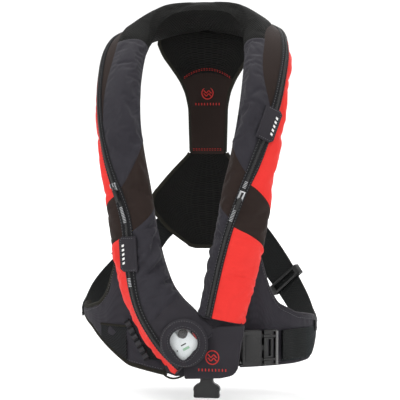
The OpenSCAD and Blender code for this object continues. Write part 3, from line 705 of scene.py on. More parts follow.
def side_panels(side):
    """(name, top, bottom, neck seam, arm seam, rows, columns, cloth, slot, growth)"""
    neck_cut, arm_cut = CUT[side]["neck"], CUT[side]["arm"]
    tip = SHOULDER_TIP[side]

    def by_zip_neck(k):
        return neck_of_zip(side, k)

    def by_zip_arm(k):
        return arm_of_zip(side, k)

    def by_shoulder(k):
        return shoulder_line(side, k) if k < tip else neck_of_zip(side, k)

    neck, arm = constant(NECK_EDGE), constant(ARM_EDGE)
    soft, grey, red = (SOFTSHELL, "softshell"), (CHARCOAL, "charcoal_fabric"), (RED, "red_fabric")
    return [
        ("shoulder", level(1.5), level(tip), by_shoulder, by_zip_neck, 64, 14, *soft, 0.02),
        ("upper_grey", level(2.95), neck_cut[0], neck, by_shoulder, 72, 24, *grey, 0.045),
        ("band_inner", *neck_cut, neck, by_zip_neck, 34, 24, *soft, 0.02),
        ("lower_grey", neck_cut[1], LOWER_END[side], neck, by_zip_neck, 56, 24, *grey, 0.06),
        ("upper_red", level(RED_START[side]), arm_cut[0], by_zip_arm, arm, 72, 24, *red, 0.025),
        ("band_outer", *arm_cut, by_zip_arm, arm, 26, 24, *soft, 0.02),
        ("lower_red", arm_cut[1], level(END[side]), by_zip_arm, arm, 56, 24, *red, 0.045)]


FOLDS = {"upper_grey": (9, 0.0011), "lower_grey": (20, 0.0034), "upper_red": (7, 0.0009),
         "lower_red": (9, 0.0018), "band_inner": (3, 0.0008), "band_outer": (2, 0.0007),
         "shoulder": (3, 0.0006)}
for side in (RIGHT, LEFT):
    for number, row in enumerate(side_panels(side)):
        part, top, bottom, neck, arm, rows, cols, cloth, slot, growth = row
        node = f"{SIDE_NAME[side]}_{part}"
        panel = lobe_sheet(f"Cover_{node}", side, top, bottom, neck, arm, rows, cols)
        puff(panel, growth=growth)
        count, depth = FOLDS[part]
        add_folds(panel, rows, cols, count, depth, seed=10 * number + side)
        thicken(panel)
        dress(panel, cloth, slot, node, fill=0.6)
    rear = lobe_sheet(f"Cover_{SIDE_NAME[side]}_shoulder_rear", side, level(1.2),
                      level(RED_START[side]), lambda k: arm_of_zip(side, k), constant(ARM_EDGE), 20,
                      16)
    puff(rear, growth=0.02)
    thicken(rear)
    dress(rear, SOFTSHELL, "softshell", fill=0.6)

# %% Sew the mesh collar and the linings
COLLAR_HALF = 2.95


def collar_edge(k):
    """The collar mesh's outer seam: behind the neck it is the zip, then the shoulder seam."""
    side = RIGHT if k < 0 else LEFT
    share = max(0.0, min(1.0, (abs(k) - 1.1) / 0.5))
    return (1 - share) * 158 + share * shoulder_line(side, abs(k))


def collar_sheet(name, from_angle, to_angle, rows, cols):
    def place(down, across):
        k = COLLAR_HALF * (2 * down - 1)
        return lobe_point(NAPE_AT + k, (1 - across) * from_angle(k) + across * to_angle(k))
    return face_away(sheet_grid(name, rows, cols, place), bolster_middle)


def lining_start(k):
    return 158 + 42 * max(0.0, min(1.0, (abs(k) - 1.1) / 0.4))


def sew_mesh(piece, node, growth, pressure, fill):
    puff(piece, growth=growth, pressure=pressure)
    thicken(piece)
    dress(piece, MESH, "spacer_mesh", node, fill=fill)


sew_mesh(collar_sheet("Cover_collar_mesh", constant(NECK_EDGE), collar_edge, 90, 30),
         "collar_mesh", 0.02, 3, 0.7)
sew_mesh(collar_sheet("Lining_collar", lining_start, constant(LINING_EDGE), 80, 20),
         "collar_lining", 0.01, 2, 0.5)
for side in (RIGHT, LEFT):
    lining = lobe_sheet(f"Lining_{SIDE_NAME[side]}", side, level(2.95), level(END[side]),
                        constant(ARM_EDGE), constant(LINING_EDGE), 90, 14)
    sew_mesh(lining, f"{SIDE_NAME[side]}_lining", 0.01, 2, 0.5)


def end_place(side):
    """A lobe's end: its section drawn in to the middle, where it stands out a little."""
    s = station(side, END[side])
    middle, _, _, along = station_frame(s)

    def place(down, across):
        rim = lobe_point(s, 360 * across, -0.0006)
        return middle + (rim - middle) * (1 - down) + along * side * (0.0008 + 0.002
                                                                      * math.sin(down * 1.5))
    return place


for side in (RIGHT, LEFT):
    end = sheet_grid(f"Cover_end_{SIDE_NAME[side]}", 10, 56, end_place(side))
    with editing(end):
        bpy.ops.mesh.remove_doubles(threshold=1e-5)
    face_away(end, lambda c, s=side: station_frame(station(s, END[s] - 1))[0])
    puff(end, growth=0.02, pressure=2, cap=0.002)
    thicken(end, smooth=False)
    dress(end, CHARCOAL, "charcoal_fabric", *(["end_caps"] if side == RIGHT else []), fill=0.6)
print("collar, linings and lobe ends sewn")

# %% [markdown]
# ## Plates and tubes
# The rest is made of two kinds of shapes. A plate is an outline filled, extruded and bevelled, for
# flaps, buckles and labels. A tube is a ring carried along a line, for piping, cords, coils and
# rods.

# %% Helpers for plates, tubes and rows of stitches
def recalculate(piece):
    """Merges what coincides and turns all faces outwards."""
    with editing(piece):
        bpy.ops.mesh.remove_doubles(threshold=1e-6)
        bpy.ops.mesh.normals_make_consistent(inside=False)


def bevel(piece, width, segments=2, angle=30):
    edge = piece.modifiers.new("Edge", "BEVEL")
    edge.width = width
    edge.segments = segments
    edge.limit_method = "ANGLE"
    edge.angle_limit = math.radians(angle)
    apply_all(piece)
    bpy.ops.object.shade_smooth_by_angle(angle=math.radians(40))


def axes(origin, x, y, z):
    """A place function for a flat piece with its own directions."""
    o, x, y, z = (np.array(v, float) for v in (origin, x, y, z))
    return lambda a, b, c: o + a * x + b * y + c * z


def front_axes(origin):
    """Right, up and out of the chest."""
    return axes(origin, (1, 0, 0), (0, 0, 1), (0, -1, 0))


def in_mm(points):
    return [(a * MM, b * MM) for a, b in points]


def plate(name, outline, thick, place, edge=0.0008):
    """An outline of (a, b) points, filled and extruded to its thickness."""
    deselect()
    bpy.ops.mesh.primitive_circle_add(vertices=len(outline), fill_type="NGON")
    piece = bpy.context.object
    piece.name = name
    set_coordinates(piece, np.array([(a, b, 0) for a, b in outline], float))
    with editing(piece):
        bpy.ops.mesh.extrude_region_move(TRANSFORM_OT_translate={"value": (0, 0, thick)})
    recalculate(piece)
    if edge:
        bevel(piece, edge)
    set_coordinates(piece, np.array([place(*v) for v in coordinates(piece)]))
    recalculate(piece)
    return piece


def tube(name, points, radius, sides=8, flat=1.0, up=None):
    """A closed tube along the points. Its radius may change, and flat squeezes it towards up."""
    line = np.array(points, float)
    count = len(line)
    radii = np.full(count, radius, float) if np.isscalar(radius) else np.array(radius, float)
    along = np.gradient(line, axis=0)
    along /= np.linalg.norm(along, axis=1, keepdims=True)
    side_way = np.cross(along[0], (0.3, 0.5, 0.8) if up is None else up[0])
    frames = []
    for i in range(count):
        if up is not None:
            side_way = np.cross(along[i], up[i])
        side_way = unit(side_way - along[i] * np.dot(side_way, along[i]))
        frames.append((side_way, np.cross(side_way, along[i])))

    def place(down, across):
        ring = round(down * (count + 1))
        i = max(0, min(count - 1, ring - 1))
        r = 0 if ring in (0, count + 1) else radii[i]
        turn = 2 * math.pi * across
        return line[i] + r * (frames[i][0] * math.cos(turn) + flat * frames[i][1] * math.sin(turn))
    piece = sheet_grid(name, count + 1, sides, place)
    recalculate(piece)
    bpy.ops.object.shade_smooth_by_angle(angle=math.radians(60))
    return piece


def join(name, pieces):
    deselect()
    for piece in pieces:
        piece.select_set(True)
    bpy.context.view_layer.objects.active = pieces[0]
    bpy.ops.object.join()
    bpy.context.object.name = name
    return bpy.context.object


def repeat(name, unit_piece, frames):
    """Copies one small piece to many frames (origin, x, y, z) and joins the copies."""
    base = coordinates(unit_piece)
    copies = []
    for origin, x, y, z in frames:
        copy = unit_piece.copy()
        copy.data = unit_piece.data.copy()
        set_coordinates(copy, base @ np.array([x, y, z]) + np.array(origin))
        bpy.context.collection.objects.link(copy)
        copies.append(copy)
    joined = join(name, copies)
    bpy.data.objects.remove(unit_piece, do_unlink=True)
    return joined


def line_frames(points, ups, pitch):
    """Evenly spaced frames along a line, with Z along it and Y outwards."""
    line = np.array(points, float)
    ups = np.broadcast_to(np.array(ups, float), line.shape)
    run = np.concatenate([[0], np.cumsum(np.linalg.norm(np.diff(line, axis=0), axis=1))])

    def at(d, values):
        return np.array([np.interp(d, run, values[:, i]) for i in range(3)])
    frames = []
    for d in np.arange(pitch / 2, run[-1], pitch):
        z = unit(at(min(d + 0.0005, run[-1]), line) - at(max(d - 0.0005, 0), line))
        y = at(d, ups)
        y = unit(y - z * np.dot(y, z))
        frames.append((at(d, line), np.cross(y, z), y, z))
    return frames


def stitches(name, points, ups, material, slot, body="root", pitch=0.0042, long=0.0028,
             thick=0.00042):
    """A row of thread stitches, each a small rounded bead. Ups is one direction or one a point."""
    deselect()
    bpy.ops.mesh.primitive_uv_sphere_add(segments=6, ring_count=4, radius=1)
    bead = bpy.context.object
    set_coordinates(bead, coordinates(bead) * np.array([thick, thick, long / 2]))
    row = repeat(name, bead, line_frames(points, ups, pitch))
    choose(row)
    bpy.ops.object.shade_smooth()
    return dress(row, material, slot, body=body)


print("helpers ready")

# %% [markdown]
# ## Zips
# Each zip is a tape with two rows of stitches and a spiral coil down its middle. The coil is a tube
# whose radius swells once for every turn of the spiral. On a few short runs, bright steel teeth are
# laid over the coil as painted glints.

# %% Tapes, coils, stitches and teeth
ZIP_START = 1.5
COIL_PITCH = 0.0024
TAPE_UNDER = 1.5


def zip_place(side, k, across=0.0, off=0.0):
    return lobe_point(station(side, k), smooth_zip(side, k) + across, off)


def zip_run(side, start, stop, count, across=0.0, off=0.0):
    ks = np.linspace(start, stop, count)
    return ([zip_place(side, k, across, off) for k in ks],
            [lobe_normal(station(side, k), smooth_zip(side, k) + across) for k in ks])


GLINT_TEETH_RUNS = {RIGHT: [(7.35, 7.75), (9.0, 9.25)], LEFT: [(6.75, 6.95), (7.35, 7.75)]}
for side in (RIGHT, LEFT):
    name = SIDE_NAME[side]
    tape = lobe_sheet(f"Zip_tape_{name}", side, level(ZIP_START), level(END[side]),
                      lambda k: neck_of_zip(side, k) - TAPE_UNDER,
                      lambda k: arm_of_zip(side, k) + TAPE_UNDER, 150, 8)
    across = np.tile(np.linspace(-1, 1, 9), 151)
    raise_by = 0.0009 + 0.0011 * (1 - across ** 2) ** 0.5
    normals = np.array([v.normal for v in tape.data.vertices])
    set_coordinates(tape, coordinates(tape) + normals * raise_by[:, None])
    thicken(tape, 0.0012, smooth=False)
    dress(tape, TAPE, "zip_tape", f"{name}_zip_tape")
    points, ups = zip_run(side, ZIP_START + 0.1, END[side] - 0.05, 240, off=0.0022)
    frames = line_frames(points, ups, COIL_PITCH / 4)
    swell = [0.0021 + 0.0005 * math.cos(math.pi / 2 * i) for i in range(len(frames))]
    dress(tube(f"Zip_coil_{name}", [f[0] for f in frames], swell, flat=0.6,
               up=[f[2] for f in frames]), PLASTIC, "black_plastic")
    for edge, shift in (("neck", -ZIP_HALF + 1), ("arm", ZIP_HALF - 1)):
        points, ups = zip_run(side, ZIP_START + 0.1, END[side] - 0.05, 160, across=shift,
                              off=0.0022)
        stitches(f"Zip_stitch_{name}_{edge}", points, ups, THREAD_DARK, "zip_tape")
    # Painted glints: the bright steel teeth on these short runs stand in for glints on the coil.
    for number, (start, stop) in enumerate(GLINT_TEETH_RUNS[side]):
        points, ups = zip_run(side, start, stop, 30, off=0.0042)
        deselect()
        bpy.ops.mesh.primitive_cube_add(size=1)
        tooth = bpy.context.object
        bevel(tooth, 0.15, 1)
        set_coordinates(tooth, coordinates(tooth) * np.array([0.0048, 0.0012, 0.0010]))
        teeth = repeat(f"Zip_glint_teeth_{name}_{number}", tooth, line_frames(points, ups, 0.0022))
        dress(teeth, STEEL, "zip_metal")
print("zips sewn")

# %% [markdown]
# ## Rigid parts from the CAD model
# Buckles, adjusters, sliders and the inflator already have their working shape in the CAD model.
# Real moulded parts have no sharp edges, so each is copied, its loose triangles are merged into
# flat faces, and its edges are bevelled. The copy rides on the body of the node that it replaces.

# %% Bevelled copies
BODY_OF = {n: b for b, names in frame["record"]["behaviour"]["bodies"].items() for n in names}
SLOT_OF = {row["node"]: row["material_slot"] for row in frame["record"]["subparts"]}


def softened(node, material, width):
    source = frame["nodes"][node]
    copy = source.copy()
    copy.data = source.data.copy()
    copy.parent = None
    copy.name = f"Part_{node}"
    for key in [k for k in copy.keys() if k.startswith("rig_")]:
        del copy[key]
    bpy.context.collection.objects.link(copy)
    with editing(copy):
        bpy.ops.mesh.remove_doubles(threshold=1e-5)
        bpy.ops.mesh.dissolve_limited(angle_limit=math.radians(4))
    bevel(copy, width, angle=35)
    return dress(copy, material, SLOT_OF[node], node, body=BODY_OF[node])


for node, width in (("buckle_female", 0.0016), ("buckle_male", 0.0012), ("upper_latch", 0.0007),
                    ("lower_latch", 0.0007), ("right_adjuster", 0.001), ("left_adjuster", 0.001),
                    ("back_ring", 0.0006), ("inflator_cap", 0.0005), ("right_zip_pull", 0.0004),
                    ("left_zip_pull", 0.0004)):
    softened(node, PLASTIC, width)
for node in ("right_zip_slider", "left_zip_slider"):
    softened(node, STEEL, 0.0004)
softened("manual_lever", LEVER, 0.0005)
softened("inflator_body", HOUSING, 0.0012)
CARRIED = {"air_cell": BLADDER, "gas_cylinder": STEEL, "oral_tube": PLASTIC, "oral_cap": PLASTIC,
           "oral_valve": VALVE, "whistle": ORANGE, "window_pane": FILM}
for node, material in CARRIED.items():
    mesh = frame["nodes"][node].data
    mesh.materials.clear()
    mesh.materials.append(material)
print("rigid parts", len(BODY_OF))

# %% [markdown]
# ## The window over the inflator
# The right lobe ends in a smooth neoprene panel with a window, so that the inflator's indicator can
# be read. The panel is sewn like the others, its faces inside the window are deleted, and a padded
# rim covers the cut. The rim's inner edge is a rounded shield with a point at the bottom.

# %% End panel and rim
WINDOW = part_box("window_pane")
WINDOW_X = (WINDOW[0].x + WINDOW[1].x) / 2
WINDOW_Z = (WINDOW[0].z + WINDOW[1].z) / 2
WINDOW_Y = WINDOW[0].y
CUT_R, CUT_SNAP, FRONT_ONLY_Y = 0.031, 0.0012, -0.13
panel = lobe_sheet("Cover_right_end_panel", RIGHT, LOWER_END[RIGHT], level(END[RIGHT]),
                   constant(NECK_EDGE), lambda k: neck_of_zip(RIGHT, k), 60, 48)
flat = coordinates(panel)
away = flat[:, [0, 2]] - np.array([WINDOW_X, WINDOW_Z])
far = np.linalg.norm(away, axis=1)
near = (np.abs(far - CUT_R) < CUT_SNAP) & (flat[:, 1] < FRONT_ONLY_Y)
flat[near, 0] = WINDOW_X + away[near, 0] / far[near] * CUT_R
flat[near, 2] = WINDOW_Z + away[near, 1] / far[near] * CUT_R
set_coordinates(panel, flat)
with editing(panel, "DESELECT"):
    bpy.ops.mesh.select_mode(type="FACE")
for face in panel.data.polygons:
    c = face.center
    face.select = math.hypot(c.x - WINDOW_X, c.z - WINDOW_Z) < CUT_R and c.y < FRONT_ONLY_Y
bpy.ops.object.mode_set(mode="EDIT")
bpy.ops.mesh.delete(type="FACE")
bpy.ops.object.mode_set(mode="OBJECT")
puff(panel, growth=0.008, pressure=2.0, cap=0.003)
thicken(panel)
dress(panel, NEOPRENE, "neoprene", "right_end_panel", fill=0.6)

WINDOW_EDGE = [(0, 20), (45, 20.5), (90, 21), (135, 20.5), (165, 20), (225, 17), (262, 23),
               (270, 24), (278, 23), (315, 18), (360, 20)]
RIM_OUTER = 34.5


def rim_place(down, across):
    """Across runs from the window's edge over the padded crest to the outer edge."""
    degrees = 360 * down
    inner = sum(read(WINDOW_EDGE, (degrees + d) % 360) for d in (-6, -3, 0, 3, 6)) / 5
    r = inner + (RIM_OUTER - inner) * across
    crest = 1.0 + 1.9 * math.sin(math.pi * min(1, 0.12 + 0.88 * across)) ** 0.6
    ridges = 0.35 * math.cos(across * 6 * math.pi)
    sink = 2.6 * max(0.0, across - 0.82) / 0.18
    turn = math.radians(degrees)
    return np.array([WINDOW_X + r * MM * math.cos(turn), WINDOW_Y - (crest + ridges - sink) * MM,
                     WINDOW_Z + r * MM * math.sin(turn)])


def behind(c):
    """A point further into the jacket than c, so that faces turn to the front."""
    return np.array([c.x, c.y + 0.05, c.z])


rim = sheet_grid("Window_rim", 96, 24, rim_place)
recalculate(rim)
thicken(face_away(rim, behind), 0.002, smooth=False)
dress(rim, NEOPRENE, "neoprene", "window_rim", fill=0.8)
FORWARD = (0, -1, 0)
for ring, shift in (("inner", 0.22), ("outer", 0.80)):
    ring_points = [rim_place(i / 90, shift) + np.array([0, -0.0006, 0]) for i in range(91)]
    stitches(f"Window_stitch_{ring}", ring_points, FORWARD, THREAD_DARK, "neoprene",
             pitch=0.0036, long=0.0024)
print("window at", round(WINDOW_X, 3), round(WINDOW_Z, 3))

# %% [markdown]
# Behind the film sits the inflator's face. It is a white plate set at the inflator's own slant,
# with a coloured indicator, a slot and a screw, and a dark red strap passes beside it. The slot's
# darkness is painted shade: a black bar on the face.

# %% Inflator face
INFLATOR = np.array([-6, -127, -428]) * MM
GAS = np.array([-44, -122, -358]) * MM
gas_way = unit(GAS - INFLATOR)
face_x = unit(np.cross((0, 1, 0), gas_way))
face_out = -np.cross(gas_way, face_x)
face_at = axes(INFLATOR + face_out * 0.0155, face_x, gas_way, face_out)
NOTCH_X, NOTCH_Y, NOTCH_R = 0.006, 0.0095, 0.0085
outline = [(0.010, -0.031), (0.021, -0.016), (0.0155, 0.002)]
outline += [(NOTCH_X + NOTCH_R * math.cos(a), NOTCH_Y - 0.004 + NOTCH_R * math.sin(a))
            for a in np.linspace(-0.35, -math.pi + 0.35, 12)]
outline += [(-0.003, 0.014), (-0.014, 0.014), (-0.017, 0.011), (-0.017, -0.020), (-0.012, -0.031)]
FACE_T = 0.0016
dress(plate("Inflator_face", outline, FACE_T, face_at, 0.0005), HOUSING, "inflator_white")


def bar(a, b, half_a, half_b):
    return [(a - half_a, b - half_b), (a + half_a, b - half_b), (a + half_a, b + half_b),
            (a - half_a, b + half_b)]


MARK_T = FACE_T + 0.0006
dress(plate("Inflator_indicator", bar(0.001, -0.0175, 0.005, 0.0018), MARK_T, face_at, 0.0003),
      LABEL_GREEN, "inflator_white")
# Painted shade: the slot is a raised black bar standing in for the shade in the opening.
dress(plate("Inflator_slot_shade", bar(0.000, -0.011, 0.004, 0.0009), MARK_T, face_at, 0.0003),
      PLASTIC, "black_plastic")
dress(tube("Inflator_screw", [face_at(-0.012, -0.015, c) for c in (0.001, 0.0024)], 0.0011, 12),
      PLASTIC, "black_plastic")
dress(tube("Inflator_boss", [face_at(NOTCH_X, NOTCH_Y - 0.0075, 0.0004 * i) for i in range(7)],
           [0.0075, 0.0075, 0.0072, 0.0056, 0.0054, 0.0058, 0.0052], 28), PLASTIC, "black_plastic")
red_line = [face_at(0.019 + 0.002 * math.sin(t * 3), -0.012 + 0.034 * t, -0.001)
            for t in np.linspace(0, 1, 12)]
dress(tube("Inflator_red_strap", red_line, 0.0028, flat=0.5), THREAD_RED, "red_fabric")
bpy.ops.mesh.primitive_circle_add(vertices=64, radius=0.036, fill_type="NGON")
dark = bpy.context.object
dark.name = "Window_inner_cloth"
set_coordinates(dark, np.array([(WINDOW_X + v[0], WINDOW_Y + 0.026, WINDOW_Z + v[1])
                                for v in coordinates(dark)]))
thicken(face_away(dark, behind), 0.001, smooth=False)
dress(dark, CHARCOAL, "charcoal_fabric")
print("inflator face placed")

# %% [markdown]
# ## Front tab and zip guards
# The tab and the two guards are stiff laminated flaps. Each is a plate with a bevelled edge. The
# tab carries an embroidered badge: a ring with two waves, and a row of plain dashes.

# %% Front tab with its badge
TAB_FRONT, TAB_BACK = (corner.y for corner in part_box("front_tab"))
TAB_OUTLINE = [(49, -411), (60, -410.5), (72, -410), (85, -409), (83, -423), (80, -437), (78, -451),
               (76, -465), (75, -471), (72, -476), (68, -480), (63, -482), (50, -485), (26, -486),
               (-1, -487), (-2, -470), (8, -450), (22, -430), (36, -416)]
tab = plate("Front_tab", in_mm(TAB_OUTLINE), 0.0055, front_axes((0, TAB_BACK - 0.0004, 0)), 0.0022)
dress(tab, NEOPRENE, "neoprene", "front_tab", fill=0.5)
GUSSET_OUTLINE = [(80, -405), (80, -422), (60, -470), (20, -480), (-14, -484), (-26, -480),
                  (-30, -471), (-20, -452), (0, -430), (20, -402), (30, -397)]
dress(plate("Front_tab_gusset", in_mm(GUSSET_OUTLINE), 0.0016,
            front_axes((0, TAB_BACK + 0.0014, 0)), 0.0006), NEOPRENE, "neoprene")


def badge(name, at, scale):
    """An embroidered ring with two waves over a row of dashes."""
    thread = scale * 0.09
    ring = [at(scale * math.cos(t), scale * math.sin(t) * 1.05, 0)
            for t in np.linspace(0, 2 * math.pi, 40)]
    pieces = [tube(f"{name}_ring", ring, thread)]
    for number, rise in enumerate((-0.32, 0.22)):
        wave = [at(scale * 0.72 * t, scale * (rise + 0.2 * math.sin(t * 5.2)), 0)
                for t in np.linspace(-1, 1, 30)]
        pieces.append(tube(f"{name}_wave_{number}", wave, thread))
    for number in range(9):
        a = scale * (number - 4) * 0.52
        dash = [at(a, -scale * 1.75, 0), at(a, -scale * 2.15, 0)]
        pieces.append(tube(f"{name}_dash_{number}", dash, thread, 6))
    dress(join(name, pieces), THREAD_RED, "red_fabric")


badge("Badge_tab", front_axes((0.039, TAB_FRONT - 0.0008, -0.455)), 0.0092)

# %% Zip guards
def zip_axes(side, k):
    """Directions at a place on the zip: down the zip, across it, and out of the lobe."""
    x = unit(zip_place(side, k + 0.1) - zip_place(side, k - 0.1))
    z = lobe_normal(station(side, k), smooth_zip(side, k))
    z = unit(z - x * np.dot(x, z))
    return x, np.cross(z, x), z


GUARD_AT = {RIGHT: 8.45, LEFT: 5.35}
for side in (RIGHT, LEFT):
    name = SIDE_NAME[side]
    node = f"{name}_zip_guard"
    low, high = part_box(node)
    centre = np.array((low + high) / 2)
    x, y, z = zip_axes(side, GUARD_AT[side])
    edge, trim = 0.013 * side, 0.005 * side
    outline = [(-0.025, -edge), (0.025, -edge), (0.025, edge - trim), (0.0205, edge),
               (-0.0205, edge), (-0.025, edge - trim)]
    guard_at = axes(centre - z * 0.0009, x, y, z)
    body = f"{name}_guard"
    dress(plate(f"Guard_{name}", outline, 0.0024, guard_at, 0.0007), NEOPRENE, "neoprene", node,
          body=body)
    roll = [guard_at(a, -edge, 0.0012) for a in np.linspace(-0.0248, 0.0248, 12)]
    dress(tube(f"Guard_roll_{name}", roll, 0.0016), NEOPRENE, "neoprene", body=body)
    inset = [(-0.0225, -edge + 0.003 * side), (-0.0225, edge - trim * 1.1),
             (-0.0195, edge - 0.0025 * side), (0.0195, edge - 0.0025 * side),
             (0.0225, edge - trim * 1.1), (0.0225, -edge + 0.003 * side)]
    stitches(f"Guard_stitch_{name}", [guard_at(a, b, 0.0026) for a, b in inset], z, THREAD_DARK,
             "neoprene", body, pitch=0.0032, long=0.0021)
    marks = []
    near_b, far_b = edge - 0.0082 * side, edge - 0.0046 * side
    for number in range(5):
        a = -0.0145 + number * 0.0062
        slanted = [(a, near_b), (a + 0.0032, near_b), (a + 0.0046, far_b), (a + 0.0014, far_b)]
        marks.append(plate(f"Guard_mark_{name}_{number}", slanted, 0.0008,
                           axes(guard_at(0, 0, 0.0020), x, y, z), 0.0))
    dress(join(f"Guard_marks_{name}", marks), PRINT_WHITE, "neoprene", body=body)
print("guards sewn")

# %% [markdown]
# ## Yoke on the back
# The yoke is spacer mesh with a softshell strap over its narrow middle. Each part is a pad: a
# flattened closed tube whose half-width follows the pattern, wrapped on the curve of the back.

# %% Pads on the back
BACK_LINE = [(0, 82), (40, 95), (100, 103), (170, 104), (320, 104)]
CHEST_A, BACK_B, FRONT_B = 168, 104, 94
YOKE_W = [(-24, 44), (-12, 64), (-2, 74), (20, 66), (56, 42), (76, 33), (100, 28), (172, 26)]
PAD_W = [(172, 27), (205, 58), (238, 85), (252, 87), (262, 84), (290, 62), (310, 36), (318, 24)]


def back_point(x, z, off):
    """A place on the wearer's back, off millimetres outside it. Everything is in millimetres."""
    b = sum(read(BACK_LINE, -z + d) for d in (-10, 0, 10)) / 3
    return np.array([x, (b + off) * math.sqrt(max(0.0, 1 - (x / (CHEST_A + off)) ** 2)), z]) * MM


def pad_half(widths, z):
    """Half a pad's width at a height, with its corners averaged away."""
    return sum(read(widths, -z + d) for d in (-5, 0, 5)) / 3


def pad_section(across, power):
    turn = 2 * math.pi * across
    c, d = math.cos(turn), math.sin(turn)
    return math.copysign(abs(c) ** power, c), math.copysign(abs(d) ** power, d)


def back_pad_piece(name, widths, top, bottom, rows, cols, middle=4.0, half=4.0, arch=0.0):
    def place(down, across):
        end = min(down, 1 - down) * rows
        plump = math.sqrt(min(1.0, end / 3)) if end < 3 else 1.0
        wide, thick = pad_section(across, 0.45)
        z = top + (bottom - top) * down
        x = wide * pad_half(widths, z)
        z += arch * max(0.0, 1 - down * 3) * (1 - (x / 40) ** 2)
        return back_point(x, z, middle + half * plump * thick)
    piece = sheet_grid(name, rows, cols, place)
    recalculate(piece)
    return piece


def soft_finish(piece, every, pressure=1.5, cap=0.0015, growth=0.0):
    """Lets a closed pad swell between its pinned points, then smooths it."""
    pinned = [v.index for v in piece.data.vertices if v.index % every == 0]
    puff(piece, pressure=pressure, growth=growth, cap=cap, pinned=pinned)
    add_subdivision(piece)
    apply_all(piece)
    bpy.ops.object.shade_smooth()


YOKE_TOP, STRAP_TOP_Z, STRAP_LOW_Z, PAD_TOP = 23, -54, -177, -167
ARCH = 16
for name, widths, top, bottom, rows, cols, form, material, slot in (
        ("Yoke_mesh", YOKE_W, YOKE_TOP, -62, 34, 48, {}, MESH, "spacer_mesh"),
        ("Yoke_strap", YOKE_W, STRAP_TOP_Z, STRAP_LOW_Z, 44, 48,
         {"middle": 3.6, "half": 4.6, "arch": ARCH}, SOFTSHELL, "softshell"),
        ("Back_pad", PAD_W, PAD_TOP, -318, 50, 64, {}, MESH, "spacer_mesh")):
    pad = back_pad_piece(name, widths, top, bottom, rows, cols, **form)
    soft_finish(pad, 9)
    dress(pad, material, slot, name.lower(), fill=0.6)


def back_row(name, xs, z_of):
    stitches(name, [back_point(x, z_of(x), -1.3) for x in xs], FORWARD, THREAD_RED, "softshell")


def arch_line(x):
    return STRAP_TOP_Z - 5 + ARCH * (1 - (x / 40) ** 2)


for number, drop in enumerate((0, 2.2)):
    back_row(f"Yoke_stitch_top_{number}", np.linspace(-37, 37, 40),
             lambda x: arch_line(x) - drop + 3)
    back_row(f"Yoke_stitch_low_{number}", np.linspace(-24, 24, 20), lambda x: PAD_TOP + drop)
badge("Badge_yoke", front_axes(back_point(0, -78, -1.6)), 0.0088)


def pad_edge(widths, top, bottom, side, off):
    return [back_point(side * (pad_half(widths, z) + 0.3), z, off)
            for z in np.linspace(top, bottom, 60)]


pad_bind = pad_edge(PAD_W, -172, -316, 1, 4)
pad_bind += [back_point(x, -318.5, 4) for x in np.linspace(20, -20, 14)]
pad_bind += pad_edge(PAD_W, -172, -316, -1, 4)[::-1]
dress(tube("Back_pad_binding", pad_bind, 0.0036, 10), BINDING, "webbing")
for side in (RIGHT, LEFT):
    dress(tube(f"Yoke_binding_{SIDE_NAME[side]}", pad_edge(YOKE_W, 6, -170, side, 4), 0.0034, 10),
          BINDING, "webbing")
print("yoke sewn")

# %% [markdown]
# ## Wings, straps and belt
# Everything that goes round the chest is set out by an angle and a height. The side is at 0
# degrees, the back at 90 and the front at -90. The wings are pads, the straps are flat webbing.

# %% Wrapping on the chest
def chest(side, angle, z, off):
    b = BACK_B if angle > 0 else FRONT_B
    c, d = math.cos(math.radians(angle)), math.sin(math.radians(angle))
    return np.array([side * (CHEST_A + off) * c, (b + off) * d, z]) * MM


def chest_out(side, angle):
    b = BACK_B if angle > 0 else FRONT_B
    return unit(np.array([side * math.cos(math.radians(angle)) / CHEST_A,
                          math.sin(math.radians(angle)) / b, 0]))


WING_TOP = {RIGHT: [(-80, -400), (-56, -300), (-50, -326), (-47, -350), (-43, -376), (-36, -391),
                    (-20, -400), (8, -398)],
            LEFT: [(-66, -330), (-56, -302), (-50, -360), (-44, -386), (-30, -402), (8, -414)]}
WING_LOW = {RIGHT: [(-80, -487), (-58, -475), (-43, -450), (-28, -425), (-14, -413), (8, -410)],
            LEFT: [(-66, -474), (-50, -473), (-30, -472), (-14, -469), (-4, -448), (8, -430)]}
WING_FROM = {RIGHT: -80, LEFT: -66}
WING_ROWS, WING_COLS, WING_MID = 54, 56, 3.5


WING_BINDING = {RIGHT: (0.0038, BINDING), LEFT: (0.0028, NEOPRENE)}


def chest_stitches(name, side, points, angles):
    stitches(name, points, [chest_out(side, a) for a in angles], THREAD_DARK, "webbing")


def wing_place(side):
    def place(down, across):
        angle = 8 + (WING_FROM[side] - 8) * down
        top, low = smooth_read(WING_TOP[side], angle), smooth_read(WING_LOW[side], angle)
        end = min(down, 1 - down) * WING_ROWS
        plump = math.sqrt(min(1.0, end / 3))
        tall, thick = pad_section(across, 0.42)
        half = (top - low) / 2
        return chest(side, angle, (top + low) / 2 + tall * half,
                     WING_MID + WING_MID * thick * plump)
    return place


for side in (RIGHT, LEFT):
    name = SIDE_NAME[side]
    wing = sheet_grid(f"Wing_{name}", WING_ROWS, WING_COLS, wing_place(side))
    recalculate(wing)
    soft_finish(wing, 7, pressure=2.5, cap=0.003, growth=0.01)
    dress(wing, CHARCOAL, "charcoal_fabric", f"{name}_wing", fill=0.5)
    angles = np.linspace(7, WING_FROM[side] + 1, 90)
    radius, cloth = WING_BINDING[side]
    for label, table, shift in (("top", WING_TOP[side], -5.5), ("low", WING_LOW[side], 5.5)):
        edge = [chest(side, a, smooth_read(table, a), WING_MID) for a in angles]
        dress(tube(f"Wing_binding_{name}_{label}", edge, radius, 10), cloth, "webbing")
        inner = [chest(side, a, smooth_read(table, a) + shift, 7.4) for a in angles]
        chest_stitches(f"Wing_stitch_{name}_{label}", side, inner, angles)


